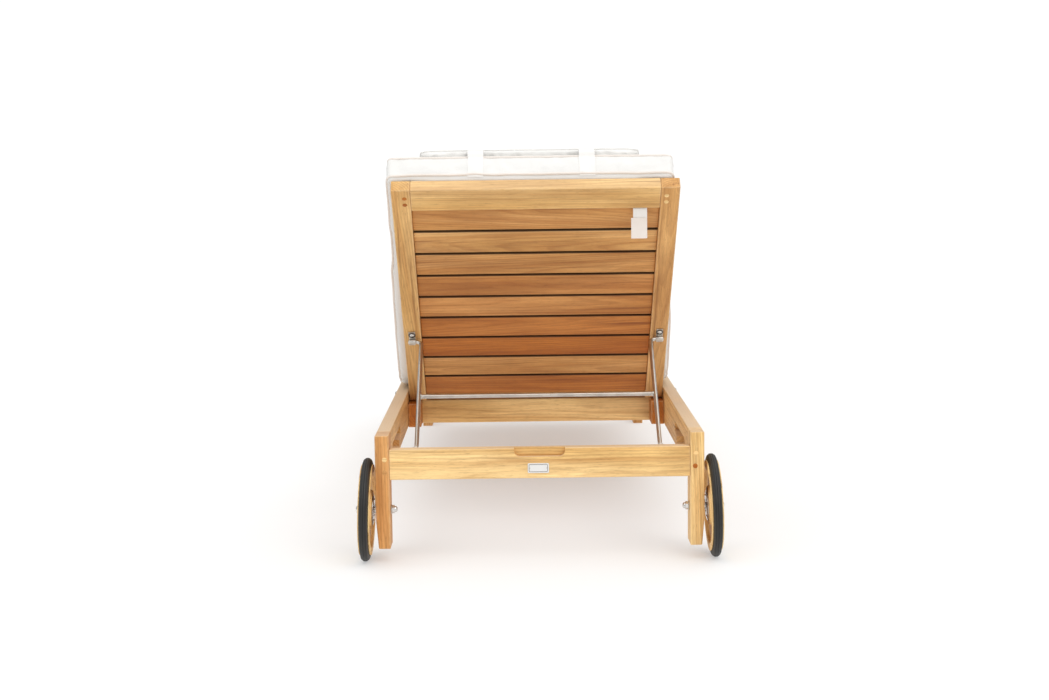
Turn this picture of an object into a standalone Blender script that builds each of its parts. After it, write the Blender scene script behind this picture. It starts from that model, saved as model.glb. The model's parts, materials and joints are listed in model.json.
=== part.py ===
"""Reclining sun lounger: teak frame on two wheels, tilting slatted back held by a
steel stay, and a full-length cushion with a head pillow.

Metres, +Z up, standing on Z = 0. The head and the wheels are at -Y, the feet at +Y.
Distances called "along" run from the rear face of the wheel legs towards the foot end.
The backrest is drawn flat about its hinge and then tilted by its empty, and so is the stay.
"""
from math import atan2, cos, hypot, pi, radians, sin

import bmesh
import bpy
from mathutils import Vector

GAP = 0.0003            # between pieces that touch

# Frame
WIDTH = 0.700
LENGTH = 2.000
TOP = 0.275             # height of the rails and of the leg tops
BOARD = 0.030           # thickness of rails, legs and backrest
RAIL_HEIGHT = 0.088
LEG_DEPTH = 0.065
END_RAIL_TOP = 0.245
END_RAIL_BOTTOM = 0.180
EDGE = 0.002            # rounding of the timber's long edges
INNER = WIDTH / 2 - BOARD
RAIL_BOTTOM = TOP - RAIL_HEIGHT

# Wheels
WHEEL_RADIUS = 0.1110
TYRE_HALF_WIDTH = 0.0092
WHEEL_MIDDLE_X = 0.372
CAMBER = radians(1.85)
AXLE_ALONG = 0.0325
AXLE_RADIUS = 0.005
AXLE_HEIGHT = (WHEEL_RADIUS - TYRE_HALF_WIDTH) * cos(CAMBER) + TYRE_HALF_WIDTH
LEG_CLEARANCE = 0.0308  # the wheel legs stop short of the ground

# Backrest, drawn flat about the hinge: it runs to -Y, its top face is up
HINGE_ALONG = 0.742
HINGE_HEIGHT = 0.263
RECLINE = radians(44.5)
BACK_REACH = 0.764      # hinge to the top end
BACK_HALF_WIDTH = 0.318
STILE_WIDTH = 0.042
SLAT_COUNT = 9
SLAT_PITCH = 0.0766
SLAT_WIDTH = 0.0706
FIRST_SLAT = 0.0461     # hinge to the middle of the lowest slat
SLAT_HALF_THICKNESS = 0.007
TOP_RAIL_WIDTH = 0.0656
HINGE_BOLT_RADIUS = 0.004

# Stay: a bent rod each side with a cross rod, feet in the racks of the side rails
ROD_RADIUS = 0.005
STAY_X = 0.276
STAY_PIVOT_REACH = 0.243
STAY_PIVOT_DROP = 0.024
FOOT_ALONG = 0.2585
FOOT_HEIGHT = 0.202
CROSS_ROD_REACH = 0.190
BRACKET_MIDDLE_X = 0.298
BRACKET_HALF_WIDTH = 0.008
RACK_DEPTH = 0.016

# Seat
SEAT_SLAT_COUNT = 13
SEAT_SLAT_WIDTH = 0.074
SEAT_SLAT_THICKNESS = 0.022
HINGE_RAIL_ALONG = 0.760
HINGE_RAIL_DEPTH = 0.028
HINGE_RAIL_TOP = 0.246
BEARER = 0.022

# Cushions
CUSHION = 0.063
CUSHION_LEFT = -0.347
CUSHION_RIGHT = 0.337
BACK_CUSHION_LEFT = -0.331
BACK_CUSHION_RIGHT = 0.309
STEEPEST = radians(56.4)

WHEEL_OVERHANG = WHEEL_RADIUS - AXLE_ALONG
REAR = -(LENGTH - WHEEL_OVERHANG) / 2
HINGE = Vector((0, REAR + HINGE_ALONG, HINGE_HEIGHT))
SIDES = (("left", -1), ("right", 1))

for leftover in list(bpy.data.objects):
    bpy.data.objects.remove(leftover, do_unlink=True)


def material(name, colour, roughness, metallic=0.0):
    made = bpy.data.materials.new(name)
    made.use_nodes = True
    shader = made.node_tree.nodes["Principled BSDF"]
    shader.inputs["Base Color"].default_value = (*colour, 1)
    shader.inputs["Roughness"].default_value = roughness
    shader.inputs["Metallic"].default_value = metallic
    return made


TEAK = material("teak", (0.58, 0.32, 0.13), 0.6)
TEAK_DARK = material("teak_dark", (0.40, 0.18, 0.07), 0.6)
STEEL = material("stainless", (0.62, 0.60, 0.56), 0.3, 1.0)
RUBBER = material("rubber", (0.03, 0.03, 0.03), 0.7)
CANVAS = material("canvas", (0.93, 0.92, 0.89), 0.9)
PLATE = material("plate", (0.85, 0.84, 0.82), 0.4)


def add(name, mesh, finish, parent=None):
    """Put a mesh in the scene as a named sub-part."""
    made = bpy.data.objects.new(name, mesh)
    bpy.context.collection.objects.link(made)
    made.data.materials.append(finish)
    made.parent = parent
    return made


def mesh_from(shape, name):
    """Turn a bmesh into a mesh with its faces outwards."""
    bmesh.ops.recalc_face_normals(shape, faces=shape.faces)
    mesh = bpy.data.meshes.new(name)
    shape.to_mesh(mesh)
    shape.free()
    return mesh


def soften(piece, width, segments=2):
    """Round the edges of a piece."""
    bevel = piece.modifiers.new("edges", "BEVEL")
    bevel.width = width
    bevel.segments = segments
    bevel.limit_method = "ANGLE"
    return piece


def bar(name, low, high, finish, parent=None, edge=EDGE):
    """A rectangular bar between two opposite corners."""
    shape = bmesh.new()
    bmesh.ops.create_cube(shape, size=1)
    for vert in shape.verts:
        vert.co = Vector([high[i] if vert.co[i] > 0 else low[i] for i in range(3)])
    piece = add(name, mesh_from(shape, name), finish, parent)
    return soften(piece, edge) if edge else piece


def extruded(name, outline, axis, start, end, finish, parent=None, edge=EDGE):
    """An outline of (across, up) points pushed along X or Y from start to end."""
    shape = bmesh.new()
    if axis == "X":
        points = [Vector((start, a, b)) for a, b in outline]
        push = Vector((end - start, 0, 0))
    else:
        points = [Vector((a, start, b)) for a, b in outline]
        push = Vector((0, end - start, 0))
    face = shape.faces.new([shape.verts.new(point) for point in points])
    grown = bmesh.ops.extrude_face_region(shape, geom=[face])["geom"]
    moved = [item for item in grown if isinstance(item, bmesh.types.BMVert)]
    bmesh.ops.translate(shape, verts=moved, vec=push)
    piece = add(name, mesh_from(shape, name), finish, parent)
    return soften(piece, edge) if edge else piece


def turned(name, profile, finish, parent=None, segments=48):
    """A closed (x, radius) profile turned about the X axis."""
    shape = bmesh.new()
    rings = []
    for step in range(segments):
        angle = 2 * pi * step / segments
        ring = [shape.verts.new((x, r * cos(angle), r * sin(angle))) for x, r in profile]
        rings.append(ring)
    count = len(profile)
    for step, ring in enumerate(rings):
        after = rings[(step + 1) % segments]
        for i in range(count):
            j = (i + 1) % count
            shape.faces.new((ring[i], ring[j], after[j], after[i]))
    mesh = mesh_from(shape, name)
    mesh.shade_smooth()
    mesh.set_sharp_from_angle(angle=radians(35))
    return add(name, mesh, finish, parent)


def shaft(name, runs, finish, parent=None, segments=24):
    """A solid pin along X from runs of (x, radius), capped at both ends."""
    shape = bmesh.new()
    rings = []
    for x, radius in runs:
        turn = [2 * pi * step / segments for step in range(segments)]
        rings.append([shape.verts.new((x, radius * cos(a), radius * sin(a))) for a in turn])
    for first, second in zip(rings, rings[1:]):
        for i in range(segments):
            j = (i + 1) % segments
            shape.faces.new((first[i], first[j], second[j], second[i]))
    shape.faces.new(rings[0])
    shape.faces.new(rings[-1])
    mesh = mesh_from(shape, name)
    mesh.shade_smooth()
    mesh.set_sharp_from_angle(angle=radians(35))
    return add(name, mesh, finish, parent)


def combine(piece, tool, operation="DIFFERENCE"):
    """Cut a piece with a hidden tool, or join the tool to it."""
    tool.hide_render = True
    tool.display_type = "WIRE"
    step = piece.modifiers.new(operation.lower(), "BOOLEAN")
    step.operation = operation
    step.object = tool
    step.solver = "EXACT"
    return piece


def drill(piece, radius, low_x, high_x, y, z, parent=None):
    """Bore a round hole along X."""
    tool = shaft(piece.name + "_drill", [(low_x, radius), (high_x, radius)], STEEL, parent)
    tool.location = (0, y, z)
    return combine(piece, tool)


def rounded_path(corners, bend):
    """Corners joined by straight runs, each inner corner turned into an arc."""
    steps = 6
    path = [corners[0]]
    for before, corner, after in zip(corners, corners[1:], corners[2:]):
        incoming = (before - corner).normalized()
        outgoing = (after - corner).normalized()
        half = incoming.angle(outgoing) / 2
        reach = bend / (sin(half) / cos(half))
        middle = corner + (incoming + outgoing).normalized() * (bend / sin(half))
        first = corner + incoming * reach - middle
        last = corner + outgoing * reach - middle
        for step in range(steps + 1):
            path.append(middle + first.slerp(last, step / steps) * bend)
    path.append(corners[-1])
    return path


def rod(name, path, radius, finish, parent=None):
    """A round rod along a list of points."""
    curve = bpy.data.curves.new(name, "CURVE")
    curve.dimensions = "3D"
    curve.bevel_depth = radius
    curve.bevel_resolution = 4
    curve.use_fill_caps = True
    line = curve.splines.new("POLY")
    line.points.add(len(path) - 1)
    for point, place in zip(line.points, path):
        point.co = (*place, 1)
    return add(name, curve, finish, parent)


def along(distance):
    """World Y of a distance measured from the rear face of the wheel legs."""
    return REAR + distance


def empty(name, place, tilt, parent=None):
    made = bpy.data.objects.new(name, None)
    bpy.context.collection.objects.link(made)
    made.location = place
    made.rotation_euler = (tilt, 0, 0)
    made.parent = parent
    return made


def between(side, near, far):
    """Low and high X of a piece that lies near to far out on one side."""
    return sorted((side * near, side * far))


# --- Side rails, with the rack that the stay's feet stand in -------------------

RACK_TOP = 0.240
RACK_FLOOR = 0.1955
RACK_START = 0.122
RACK_STEP = 0.336       # the floor steps up here, and the rack ends after it
RACK_END = 0.384
NOTCHES = ((0.1298, 0.1438, 0.0015), (0.1850, 0.1990, 0.0015), (0.2515, 0.2655, 0.0015),
           (0.2900, 0.3330, 0.0025))    # start, end and depth of each rest point


def rack_outline():
    """The rack's outline, with a shallow notch in its floor at each rest point."""
    floor = [(RACK_START, RACK_FLOOR + 0.004)]
    for low, high, depth in NOTCHES:
        floor += [(low, RACK_FLOOR), (low + 0.003, RACK_FLOOR - depth)]
        floor += [(high - 0.003, RACK_FLOOR - depth), (high, RACK_FLOOR)]
    step = [(RACK_STEP, RACK_FLOOR + 0.003), (RACK_STEP + 0.004, 0.2115)]
    end = [(RACK_END - 0.003, 0.218), (RACK_END, 0.221), (RACK_END, 0.234), (RACK_END - 0.008, RACK_TOP)]
    return floor + step + end + [(RACK_START + 0.006, RACK_TOP), (RACK_START, RACK_TOP - 0.006)]


for word, side in SIDES:
    low_x, high_x = between(side, INNER, WIDTH / 2)
    rail = bar(f"side_rail_{word}", (low_x, along(LEG_DEPTH) + GAP, RAIL_BOTTOM),
               (high_x, along(LENGTH - LEG_DEPTH) - GAP, TOP), TEAK)
    low_x, high_x = between(side, INNER - 0.01, INNER + RACK_DEPTH)
    outline = [(along(a), b) for a, b in rack_outline()]
    rack = extruded(f"rack_cutter_{word}", outline, "X", low_x, high_x, TEAK, edge=0)
    combine(rail, rack)
    low_x, high_x = between(side, INNER - 0.01, WIDTH / 2 + 0.01)
    drill(rail, HINGE_BOLT_RADIUS + GAP, low_x, high_x, HINGE.y, HINGE.z)

# --- Legs --------------------------------------------------------------------

TAPER = 0.005
TAPER_HEIGHT = 0.090

for word, side in SIDES:
    outline = [(side * INNER, LEG_CLEARANCE), (side * (WIDTH / 2 - TAPER), LEG_CLEARANCE),
               (side * WIDTH / 2, TAPER_HEIGHT), (side * WIDTH / 2, TOP), (side * INNER, TOP)]
    leg = extruded(f"wheel_leg_{word}", outline, "Y", along(0), along(LEG_DEPTH), TEAK)
    low_x, high_x = between(side, INNER - 0.01, WIDTH / 2 + 0.01)
    drill(leg, AXLE_RADIUS + GAP, low_x, high_x, along(AXLE_ALONG), AXLE_HEIGHT)
    low_x, high_x = between(side, INNER, WIDTH / 2)
    bar(f"front_leg_{word}", (low_x, along(LENGTH - LEG_DEPTH), 0),
        (high_x, along(LENGTH), TOP), TEAK)

# --- Rails across the frame ----------------------------------------------------

POCKET_HALF_WIDTH = 0.054
POCKET_DEPTH = 0.013
POCKET_DROP = 0.0185
POCKET_CORNER = 0.012


def pocket_outline():
    """The finger pocket: open at the top, with rounded lower corners."""
    floor = END_RAIL_TOP - POCKET_DROP
    points = [(POCKET_HALF_WIDTH, END_RAIL_TOP + 0.01)]
    for turn in range(7):
        angle = -pi / 2 * turn / 6
        points.append((POCKET_HALF_WIDTH - POCKET_CORNER + POCKET_CORNER * cos(angle),
                       floor + POCKET_CORNER + POCKET_CORNER * sin(angle)))
    return points + [(-x, z) for x, z in reversed(points)]


reach = INNER - GAP
slat_underside = TOP - SEAT_SLAT_THICKNESS - GAP
rear_rail = bar("rear_rail", (-reach, along(0), END_RAIL_BOTTOM),
                (reach, along(BOARD), END_RAIL_TOP), TEAK)
pocket = extruded("pocket_cutter", pocket_outline(), "Y", along(-0.01), along(POCKET_DEPTH),
                  TEAK, edge=0)
combine(rear_rail, pocket)
bar("front_rail", (-reach, along(LENGTH - BOARD), RAIL_BOTTOM),
    (reach, along(LENGTH), slat_underside), TEAK)
hinge_rail_end = HINGE_RAIL_ALONG + HINGE_RAIL_DEPTH
bar("hinge_rail", (-reach, along(HINGE_RAIL_ALONG), RAIL_BOTTOM),
    (reach, along(hinge_rail_end), HINGE_RAIL_TOP), TEAK)

BLOCK_WIDTH = 0.032
BLOCK_LENGTH = 0.070
for word, side in SIDES:
    low_x, high_x = between(side, reach - BLOCK_WIDTH, reach)
    bar(f"hinge_block_{word}",
        (low_x, along(HINGE_RAIL_ALONG - BLOCK_LENGTH), RAIL_BOTTOM),
        (high_x, along(HINGE_RAIL_ALONG) - GAP, HINGE_RAIL_TOP), TEAK_DARK)
    low_x, high_x = between(side, reach - BEARER, reach)
    bar(f"slat_bearer_{word}", (low_x, along(hinge_rail_end) + GAP, slat_underside - BEARER),
        (high_x, along(LENGTH - LEG_DEPTH), slat_underside), TEAK)

# --- Seat slats ------------------------------------------------------------------

SEAT_START = HINGE_RAIL_ALONG + 0.006
seat_pitch = (LENGTH - SEAT_START - SEAT_SLAT_WIDTH) / (SEAT_SLAT_COUNT - 1)
for number in range(SEAT_SLAT_COUNT):
    start = SEAT_START + number * seat_pitch
    bar(f"seat_slat_{number + 1:02d}", (-reach, along(start), TOP - SEAT_SLAT_THICKNESS),
        (reach, along(start + SEAT_SLAT_WIDTH), TOP), TEAK)

# --- Backrest ---------------------------------------------------------------------

backrest = empty("backrest_pivot", HINGE, -RECLINE)
HALF_BOARD = BOARD / 2
SLAT_LENGTH = BACK_HALF_WIDTH - STILE_WIDTH - GAP


def stile_outline():
    """A straight board with a round end about the hinge."""
    turns = [pi / 2 - pi * step / 12 for step in range(13)]
    end = [(HALF_BOARD * cos(a), HALF_BOARD * sin(a)) for a in turns]
    return end + [(-BACK_REACH, -HALF_BOARD), (-BACK_REACH, HALF_BOARD)]


for word, side in SIDES:
    low_x, high_x = between(side, BACK_HALF_WIDTH - STILE_WIDTH, BACK_HALF_WIDTH)
    stile = extruded(f"back_stile_{word}", stile_outline(), "X", low_x, high_x, TEAK, backrest)
    low_x, high_x = between(side, BACK_HALF_WIDTH - STILE_WIDTH - 0.01, BACK_HALF_WIDTH + 0.01)
    drill(stile, HINGE_BOLT_RADIUS + GAP, low_x, high_x, 0, 0, backrest)
bar("back_top_rail", (-SLAT_LENGTH, -BACK_REACH, -HALF_BOARD),
    (SLAT_LENGTH, TOP_RAIL_WIDTH - BACK_REACH, HALF_BOARD), TEAK, backrest)
for number in range(SLAT_COUNT):
    middle = -FIRST_SLAT - number * SLAT_PITCH
    bar(f"back_slat_{number + 1}",
        (-SLAT_LENGTH, middle - SLAT_WIDTH / 2, -SLAT_HALF_THICKNESS),
        (SLAT_LENGTH, middle + SLAT_WIDTH / 2, SLAT_HALF_THICKNESS), TEAK, backrest)

# Hinge bolts, through the side rails into the stiles
for word, side in SIDES:
    head = side * (WIDTH / 2 + 0.0055)
    under_head = side * (WIDTH / 2 + GAP)
    tip = side * (BACK_HALF_WIDTH - STILE_WIDTH + 0.004)
    runs = [(head, 0.004), (head - side * 0.002, 0.0075), (under_head, 0.0085),
            (under_head, HINGE_BOLT_RADIUS), (tip, HINGE_BOLT_RADIUS)]
    bolt = shaft(f"hinge_bolt_{word}", runs, STEEL)
    bolt.location = HINGE

# --- Stay ----------------------------------------------------------------------

pivot_y = HINGE_ALONG - STAY_PIVOT_REACH * cos(RECLINE) - STAY_PIVOT_DROP * sin(RECLINE)
pivot_z = HINGE_HEIGHT + STAY_PIVOT_REACH * sin(RECLINE) - STAY_PIVOT_DROP * cos(RECLINE)
stay_length = hypot(pivot_y - FOOT_ALONG, pivot_z - FOOT_HEIGHT)
stay_slope = atan2(pivot_z - FOOT_HEIGHT, pivot_y - FOOT_ALONG)
stay = empty("stay_pivot", (0, -STAY_PIVOT_REACH, -STAY_PIVOT_DROP), RECLINE + stay_slope,
             backrest)
STAY_BEND = 0.012
for word, side in SIDES:
    pin_end = side * (BRACKET_MIDDLE_X + BRACKET_HALF_WIDTH + 0.002)
    foot_end = side * (INNER + RACK_DEPTH - 0.003)
    corners = [Vector((pin_end, 0, 0)), Vector((side * STAY_X, 0, 0)),
               Vector((side * STAY_X, -stay_length, 0)), Vector((foot_end, -stay_length, 0))]
    rod(f"stay_rod_{word}", rounded_path(corners, STAY_BEND), ROD_RADIUS, STEEL, stay)
cross_end = STAY_X - ROD_RADIUS - GAP
cross = shaft("stay_cross_rod", [(-cross_end, ROD_RADIUS), (cross_end, ROD_RADIUS)], STEEL, stay)
cross.location = (0, -CROSS_ROD_REACH, 0)

# Brackets: a barrel round the rod's pin and a tab screwed to the stile
BARREL_RADIUS = 0.0085
TAB_THICKNESS = 0.0025
TAB_REACH = 0.029
for word, side in SIDES:
    low_x, high_x = between(side, BRACKET_MIDDLE_X - BRACKET_HALF_WIDTH,
                            BRACKET_MIDDLE_X + BRACKET_HALF_WIDTH)
    tab_top = -HALF_BOARD - GAP
    bracket = bar(f"stay_bracket_{word}",
                  (low_x, -STAY_PIVOT_REACH - TAB_REACH, tab_top - TAB_THICKNESS),
                  (high_x, -STAY_PIVOT_REACH + 0.006, tab_top), STEEL, backrest, edge=0)
    barrel = shaft(f"barrel_{word}", [(low_x, BARREL_RADIUS), (high_x, BARREL_RADIUS)], STEEL,
                   backrest)
    barrel.location = (0, -STAY_PIVOT_REACH, -STAY_PIVOT_DROP)
    combine(bracket, barrel, "UNION")
    drill(bracket, ROD_RADIUS + GAP, low_x - 0.01, high_x + 0.01, -STAY_PIVOT_REACH,
          -STAY_PIVOT_DROP, backrest)

# --- Wheels ---------------------------------------------------------------------

DISC_RADIUS = 0.0975
DISC_HALF_WIDTH = 0.0125
GROOVE_RADIUS = 0.090
HUB_BORE = 0.0066
DISH = 0.006            # how far the disc's faces are cut back
SLEEVE_RADIUS = 0.0095
FLANGE_RADIUS = 0.032
FLANGE = 0.003


def tyre_profile():
    """A band with a half-round tread, from the groove to the running surface."""
    crown = WHEEL_RADIUS - TYRE_HALF_WIDTH
    turns = [pi * step / 10 for step in range(11)]
    tread = [(TYRE_HALF_WIDTH * cos(a), crown + TYRE_HALF_WIDTH * sin(a)) for a in turns]
    foot = GROOVE_RADIUS + GAP
    return [(TYRE_HALF_WIDTH, foot)] + tread + [(-TYRE_HALF_WIDTH, foot)]


def disc_profile():
    """The wooden disc, with the tyre's groove and a dished face on each side."""
    half = []
    half.append((TYRE_HALF_WIDTH + GAP, GROOVE_RADIUS))
    half.append((TYRE_HALF_WIDTH + GAP, DISC_RADIUS))
    half.append((DISC_HALF_WIDTH - 0.001, DISC_RADIUS))
    half.append((DISC_HALF_WIDTH, DISC_RADIUS - 0.001))
    half.append((DISC_HALF_WIDTH, DISC_RADIUS - 0.016))
    half.append((DISC_HALF_WIDTH - DISH, DISC_RADIUS - 0.019))
    half.append((DISC_HALF_WIDTH - DISH, FLANGE_RADIUS + 0.012))
    half.append((DISC_HALF_WIDTH, FLANGE_RADIUS + 0.008))
    half.append((DISC_HALF_WIDTH, SLEEVE_RADIUS + GAP))
    return half + [(-x, r) for x, r in reversed(half)]


def hub_profile():
    """A sleeve through the disc with a flange on each face."""
    face = DISC_HALF_WIDTH + GAP
    half = [(face, SLEEVE_RADIUS), (face, FLANGE_RADIUS), (face + FLANGE * 0.5, FLANGE_RADIUS),
            (face + FLANGE, FLANGE_RADIUS - 0.003), (face + FLANGE, HUB_BORE)]
    return half + [(-x, r) for x, r in reversed(half)]


SPACER_OUTER = WHEEL_MIDDLE_X - DISC_HALF_WIDTH - FLANGE - 0.0013
for word, side in SIDES:
    wheel = empty(f"wheel_pivot_{word}", (side * WHEEL_MIDDLE_X, along(AXLE_ALONG), AXLE_HEIGHT), 0)
    wheel.rotation_euler = (0, -side * CAMBER, 0)
    turned(f"wheel_disc_{word}", disc_profile(), TEAK, wheel)
    turned(f"tyre_{word}", tyre_profile(), RUBBER, wheel, segments=64)
    turned(f"wheel_hub_{word}", hub_profile(), STEEL, wheel)

    head = WHEEL_MIDDLE_X + DISC_HALF_WIDTH + FLANGE + 0.0016
    runs = [(head + 0.007, 0.004), (head + 0.005, 0.0075), (head + 0.001, 0.0095), (head, 0.0095),
            (head, AXLE_RADIUS), (SPACER_OUTER, AXLE_RADIUS), (SPACER_OUTER, 0.008),
            (WIDTH / 2 + GAP, 0.008), (WIDTH / 2 + GAP, AXLE_RADIUS), (INNER - 0.006, AXLE_RADIUS)]
    bolt = shaft(f"axle_bolt_{word}", [(side * x, r) for x, r in runs], STEEL)
    bolt.location = (0, along(AXLE_ALONG), AXLE_HEIGHT)

    washer = INNER - GAP
    nut = [(washer, AXLE_RADIUS + GAP), (washer, 0.0105), (washer - 0.0018, 0.0105),
           (washer - 0.0018, 0.0082), (washer - 0.0088, 0.0082), (washer - 0.0128, 0.0058),
           (washer - 0.0142, 0.002), (washer - 0.0142, 0.0005), (washer - 0.0075, 0.0005),
           (washer - 0.0075, AXLE_RADIUS + GAP)]
    cap = turned(f"dome_nut_{word}", [(side * x, r) for x, r in nut], STEEL, segments=24)
    cap.location = (0, along(AXLE_ALONG), AXLE_HEIGHT)

# --- Plate on the rear rail --------------------------------------------------------

bar("maker_plate", (-0.0255, along(0) - 0.0015, 0.1915), (0.0195, along(0) - GAP, 0.2125), PLATE,
    edge=0)

# --- Cushions ----------------------------------------------------------------------

CUSHION_EDGE = 0.012
fold = CUSHION * sin(STEEPEST / 2) / cos(STEEPEST / 2)
seat_floor = TOP + GAP
seat_outline = [(along(HINGE_ALONG + 0.016), seat_floor), (along(LENGTH - 0.010), seat_floor),
                (along(LENGTH - 0.010), seat_floor + CUSHION),
                (along(HINGE_ALONG + 0.016) + fold, seat_floor + CUSHION)]
extruded("cushion_seat", seat_outline, "X", CUSHION_LEFT, CUSHION_RIGHT, CANVAS,
         edge=CUSHION_EDGE)

back_floor = HALF_BOARD + GAP
BACK_CUSHION_START = -0.016
BACK_CUSHION_END = -0.772
back_outline = [(BACK_CUSHION_START, back_floor), (BACK_CUSHION_END, back_floor),
                (BACK_CUSHION_END, back_floor + CUSHION),
                (BACK_CUSHION_START - fold, back_floor + CUSHION)]
extruded("cushion_back", back_outline, "X", BACK_CUSHION_LEFT, BACK_CUSHION_RIGHT, CANVAS,
         backrest, edge=CUSHION_EDGE)

PILLOW = 0.049
pillow_floor = back_floor + CUSHION + GAP
bar("head_pillow", (-0.263, -0.760, pillow_floor), (0.239, -0.568, pillow_floor + PILLOW),
    CANVAS, backrest, edge=0.020)
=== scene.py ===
"""Looks of a reclining sun lounger: teak boards, a steel stay, wheels with wooden
discs, a full-length boxed cushion with a head pillow, and a pale studio.

Metres, +Z up. The head end and the wheels are at -Y. On the backrest, "reach" runs
from the hinge to the head end and "lift" stands out of the boards' middle plane.
"""

import json
from math import cos, pi, radians, sin, tan

import bmesh
import bpy
import numpy as np
from mathutils import Matrix, Vector
from mathutils.bvhtree import BVHTree


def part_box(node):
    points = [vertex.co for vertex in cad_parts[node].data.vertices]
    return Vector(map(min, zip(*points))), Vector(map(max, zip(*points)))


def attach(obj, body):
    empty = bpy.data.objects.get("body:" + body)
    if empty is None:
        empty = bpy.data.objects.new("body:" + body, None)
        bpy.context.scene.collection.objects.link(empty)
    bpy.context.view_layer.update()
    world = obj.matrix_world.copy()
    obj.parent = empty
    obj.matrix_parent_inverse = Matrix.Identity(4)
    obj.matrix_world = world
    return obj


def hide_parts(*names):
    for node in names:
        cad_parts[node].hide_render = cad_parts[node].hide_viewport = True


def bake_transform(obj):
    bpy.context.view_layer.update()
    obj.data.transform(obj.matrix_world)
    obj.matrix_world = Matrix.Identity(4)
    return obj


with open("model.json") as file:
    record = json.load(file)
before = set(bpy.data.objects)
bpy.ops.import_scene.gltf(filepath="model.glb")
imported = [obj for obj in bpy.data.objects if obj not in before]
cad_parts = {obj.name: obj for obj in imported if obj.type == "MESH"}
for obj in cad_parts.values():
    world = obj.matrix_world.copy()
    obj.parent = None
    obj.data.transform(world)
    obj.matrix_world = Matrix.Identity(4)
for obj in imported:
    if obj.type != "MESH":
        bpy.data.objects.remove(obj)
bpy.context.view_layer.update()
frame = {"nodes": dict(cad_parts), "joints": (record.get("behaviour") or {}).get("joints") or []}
nodes = frame["nodes"]
joints = {joint["name"]: joint for joint in frame["joints"]}
SIDES = (("left", -1), ("right", 1))

HINGE = np.array(joints["backrest_recline"]["pos_m"])
RECLINE = radians(-joints["backrest_recline"]["range_deg"][0])
REACH = np.array((0, -cos(RECLINE), sin(RECLINE)))
LIFT = np.array((0, sin(RECLINE), cos(RECLINE)))
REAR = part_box("rear_rail")[0].y
BOARD_FACE = 0.015      # lift of the backrest boards' upper face


def on_back(x, reach, lift):
    """Points given on the tilted backrest: hinge + x + reach and lift along its own axes."""
    x, reach, lift = np.broadcast_arrays(x, reach, lift)
    sideways = x[..., None] * np.array((1.0, 0, 0))
    return HINGE + sideways + reach[..., None] * REACH + lift[..., None] * LIFT


# --- Camera, light and floor ------------------------------------------------------

CAMERA_PLACE = (-0.0399, REAR - 3.8142, 0.8776)
CAMERA_AXES = ((0.999911, 0.013048, -0.002775), (-0.004197, 0.110210, -0.993899),
               (-0.012663, 0.993823, 0.110255))
LENS = 62.46


def set_up_camera():
    """A level-headed view from behind the head end."""
    data = bpy.data.cameras.new("camera")
    data.sensor_width = 36
    data.lens = LENS
    camera = bpy.data.objects.new("camera", data)
    bpy.context.scene.collection.objects.link(camera)
    camera.matrix_world = Matrix.Translation(CAMERA_PLACE) @ Matrix(CAMERA_AXES).to_4x4()
    bpy.context.scene.camera = camera


def soft_sun(name, azimuth, height, power, spread, colour):
    """A broad distant lamp. azimuth 0 shines from behind the camera, 90 from its right;
    height is above the horizon."""
    data = bpy.data.lights.new(name, "SUN")
    data.angle = radians(spread)
    data.energy = power
    data.color = colour
    lamp = bpy.data.objects.new(name, data)
    bpy.context.scene.collection.objects.link(lamp)
    turn, rise = radians(azimuth), radians(height)
    towards = Vector((sin(turn) * cos(rise), -cos(turn) * cos(rise), sin(rise)))
    lamp.rotation_mode = "QUATERNION"
    lamp.rotation_quaternion = towards.to_track_quat("Z", "Y")


class Nodes:
    """Short calls that add shader nodes to one tree and join them."""

    def __init__(self, tree):
        self.tree = tree

    def add(self, kind, values=None, **settings):
        """A node, with its inputs joined to sockets or set to values."""
        node = self.tree.nodes.new(kind)
        for key, value in settings.items():
            setattr(node, key, value)
        for key, value in (values or {}).items():
            if isinstance(value, bpy.types.NodeSocket):
                self.tree.links.new(value, node.inputs[key])
            else:
                node.inputs[key].default_value = value
        return node

    def math(self, operation, *values):
        """One step of arithmetic on numbers."""
        return self.add("ShaderNodeMath", dict(enumerate(values)), operation=operation).outputs[0]

    def vector(self, operation, *values):
        """One step of arithmetic on vectors; LENGTH gives a number."""
        node = self.add("ShaderNodeVectorMath", dict(enumerate(values)), operation=operation)
        return node.outputs["Value" if operation == "LENGTH" else "Vector"]

    def split(self, vector):
        return self.add("ShaderNodeSeparateXYZ", {0: vector}).outputs

    def join(self, *values):
        return self.add("ShaderNodeCombineXYZ", dict(enumerate(values))).outputs[0]

    def noise(self, point, stretch, detail=2.0, roughness=0.5):
        """Soft noise with its own scale along each axis."""
        values = {"Vector": self.vector("MULTIPLY", point, stretch), "Scale": 1.0,
                  "Detail": detail, "Roughness": roughness}
        return self.add("ShaderNodeTexNoise", values).outputs[0]

    def ramp(self, value, low, high):
        """0 below low, 1 above high, and a smooth step between them."""
        values = {"Value": value, "From Min": low, "From Max": high}
        node = self.add("ShaderNodeMapRange", values, interpolation_type="SMOOTHSTEP")
        return node.outputs[0]

    def mix(self, share, first, second, blend="MIX"):
        """Two colours mixed: the first at share 0, the second at share 1."""
        node = self.add("ShaderNodeMix", data_type="RGBA", blend_type=blend)
        for index, value in ((0, share), (6, first), (7, second)):
            if isinstance(value, bpy.types.NodeSocket):
                self.tree.links.new(value, node.inputs[index])
            else:
                node.inputs[index].default_value = value
        return node.outputs[2]

    def link(self, source, target):
        self.tree.links.new(source, target)


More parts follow.
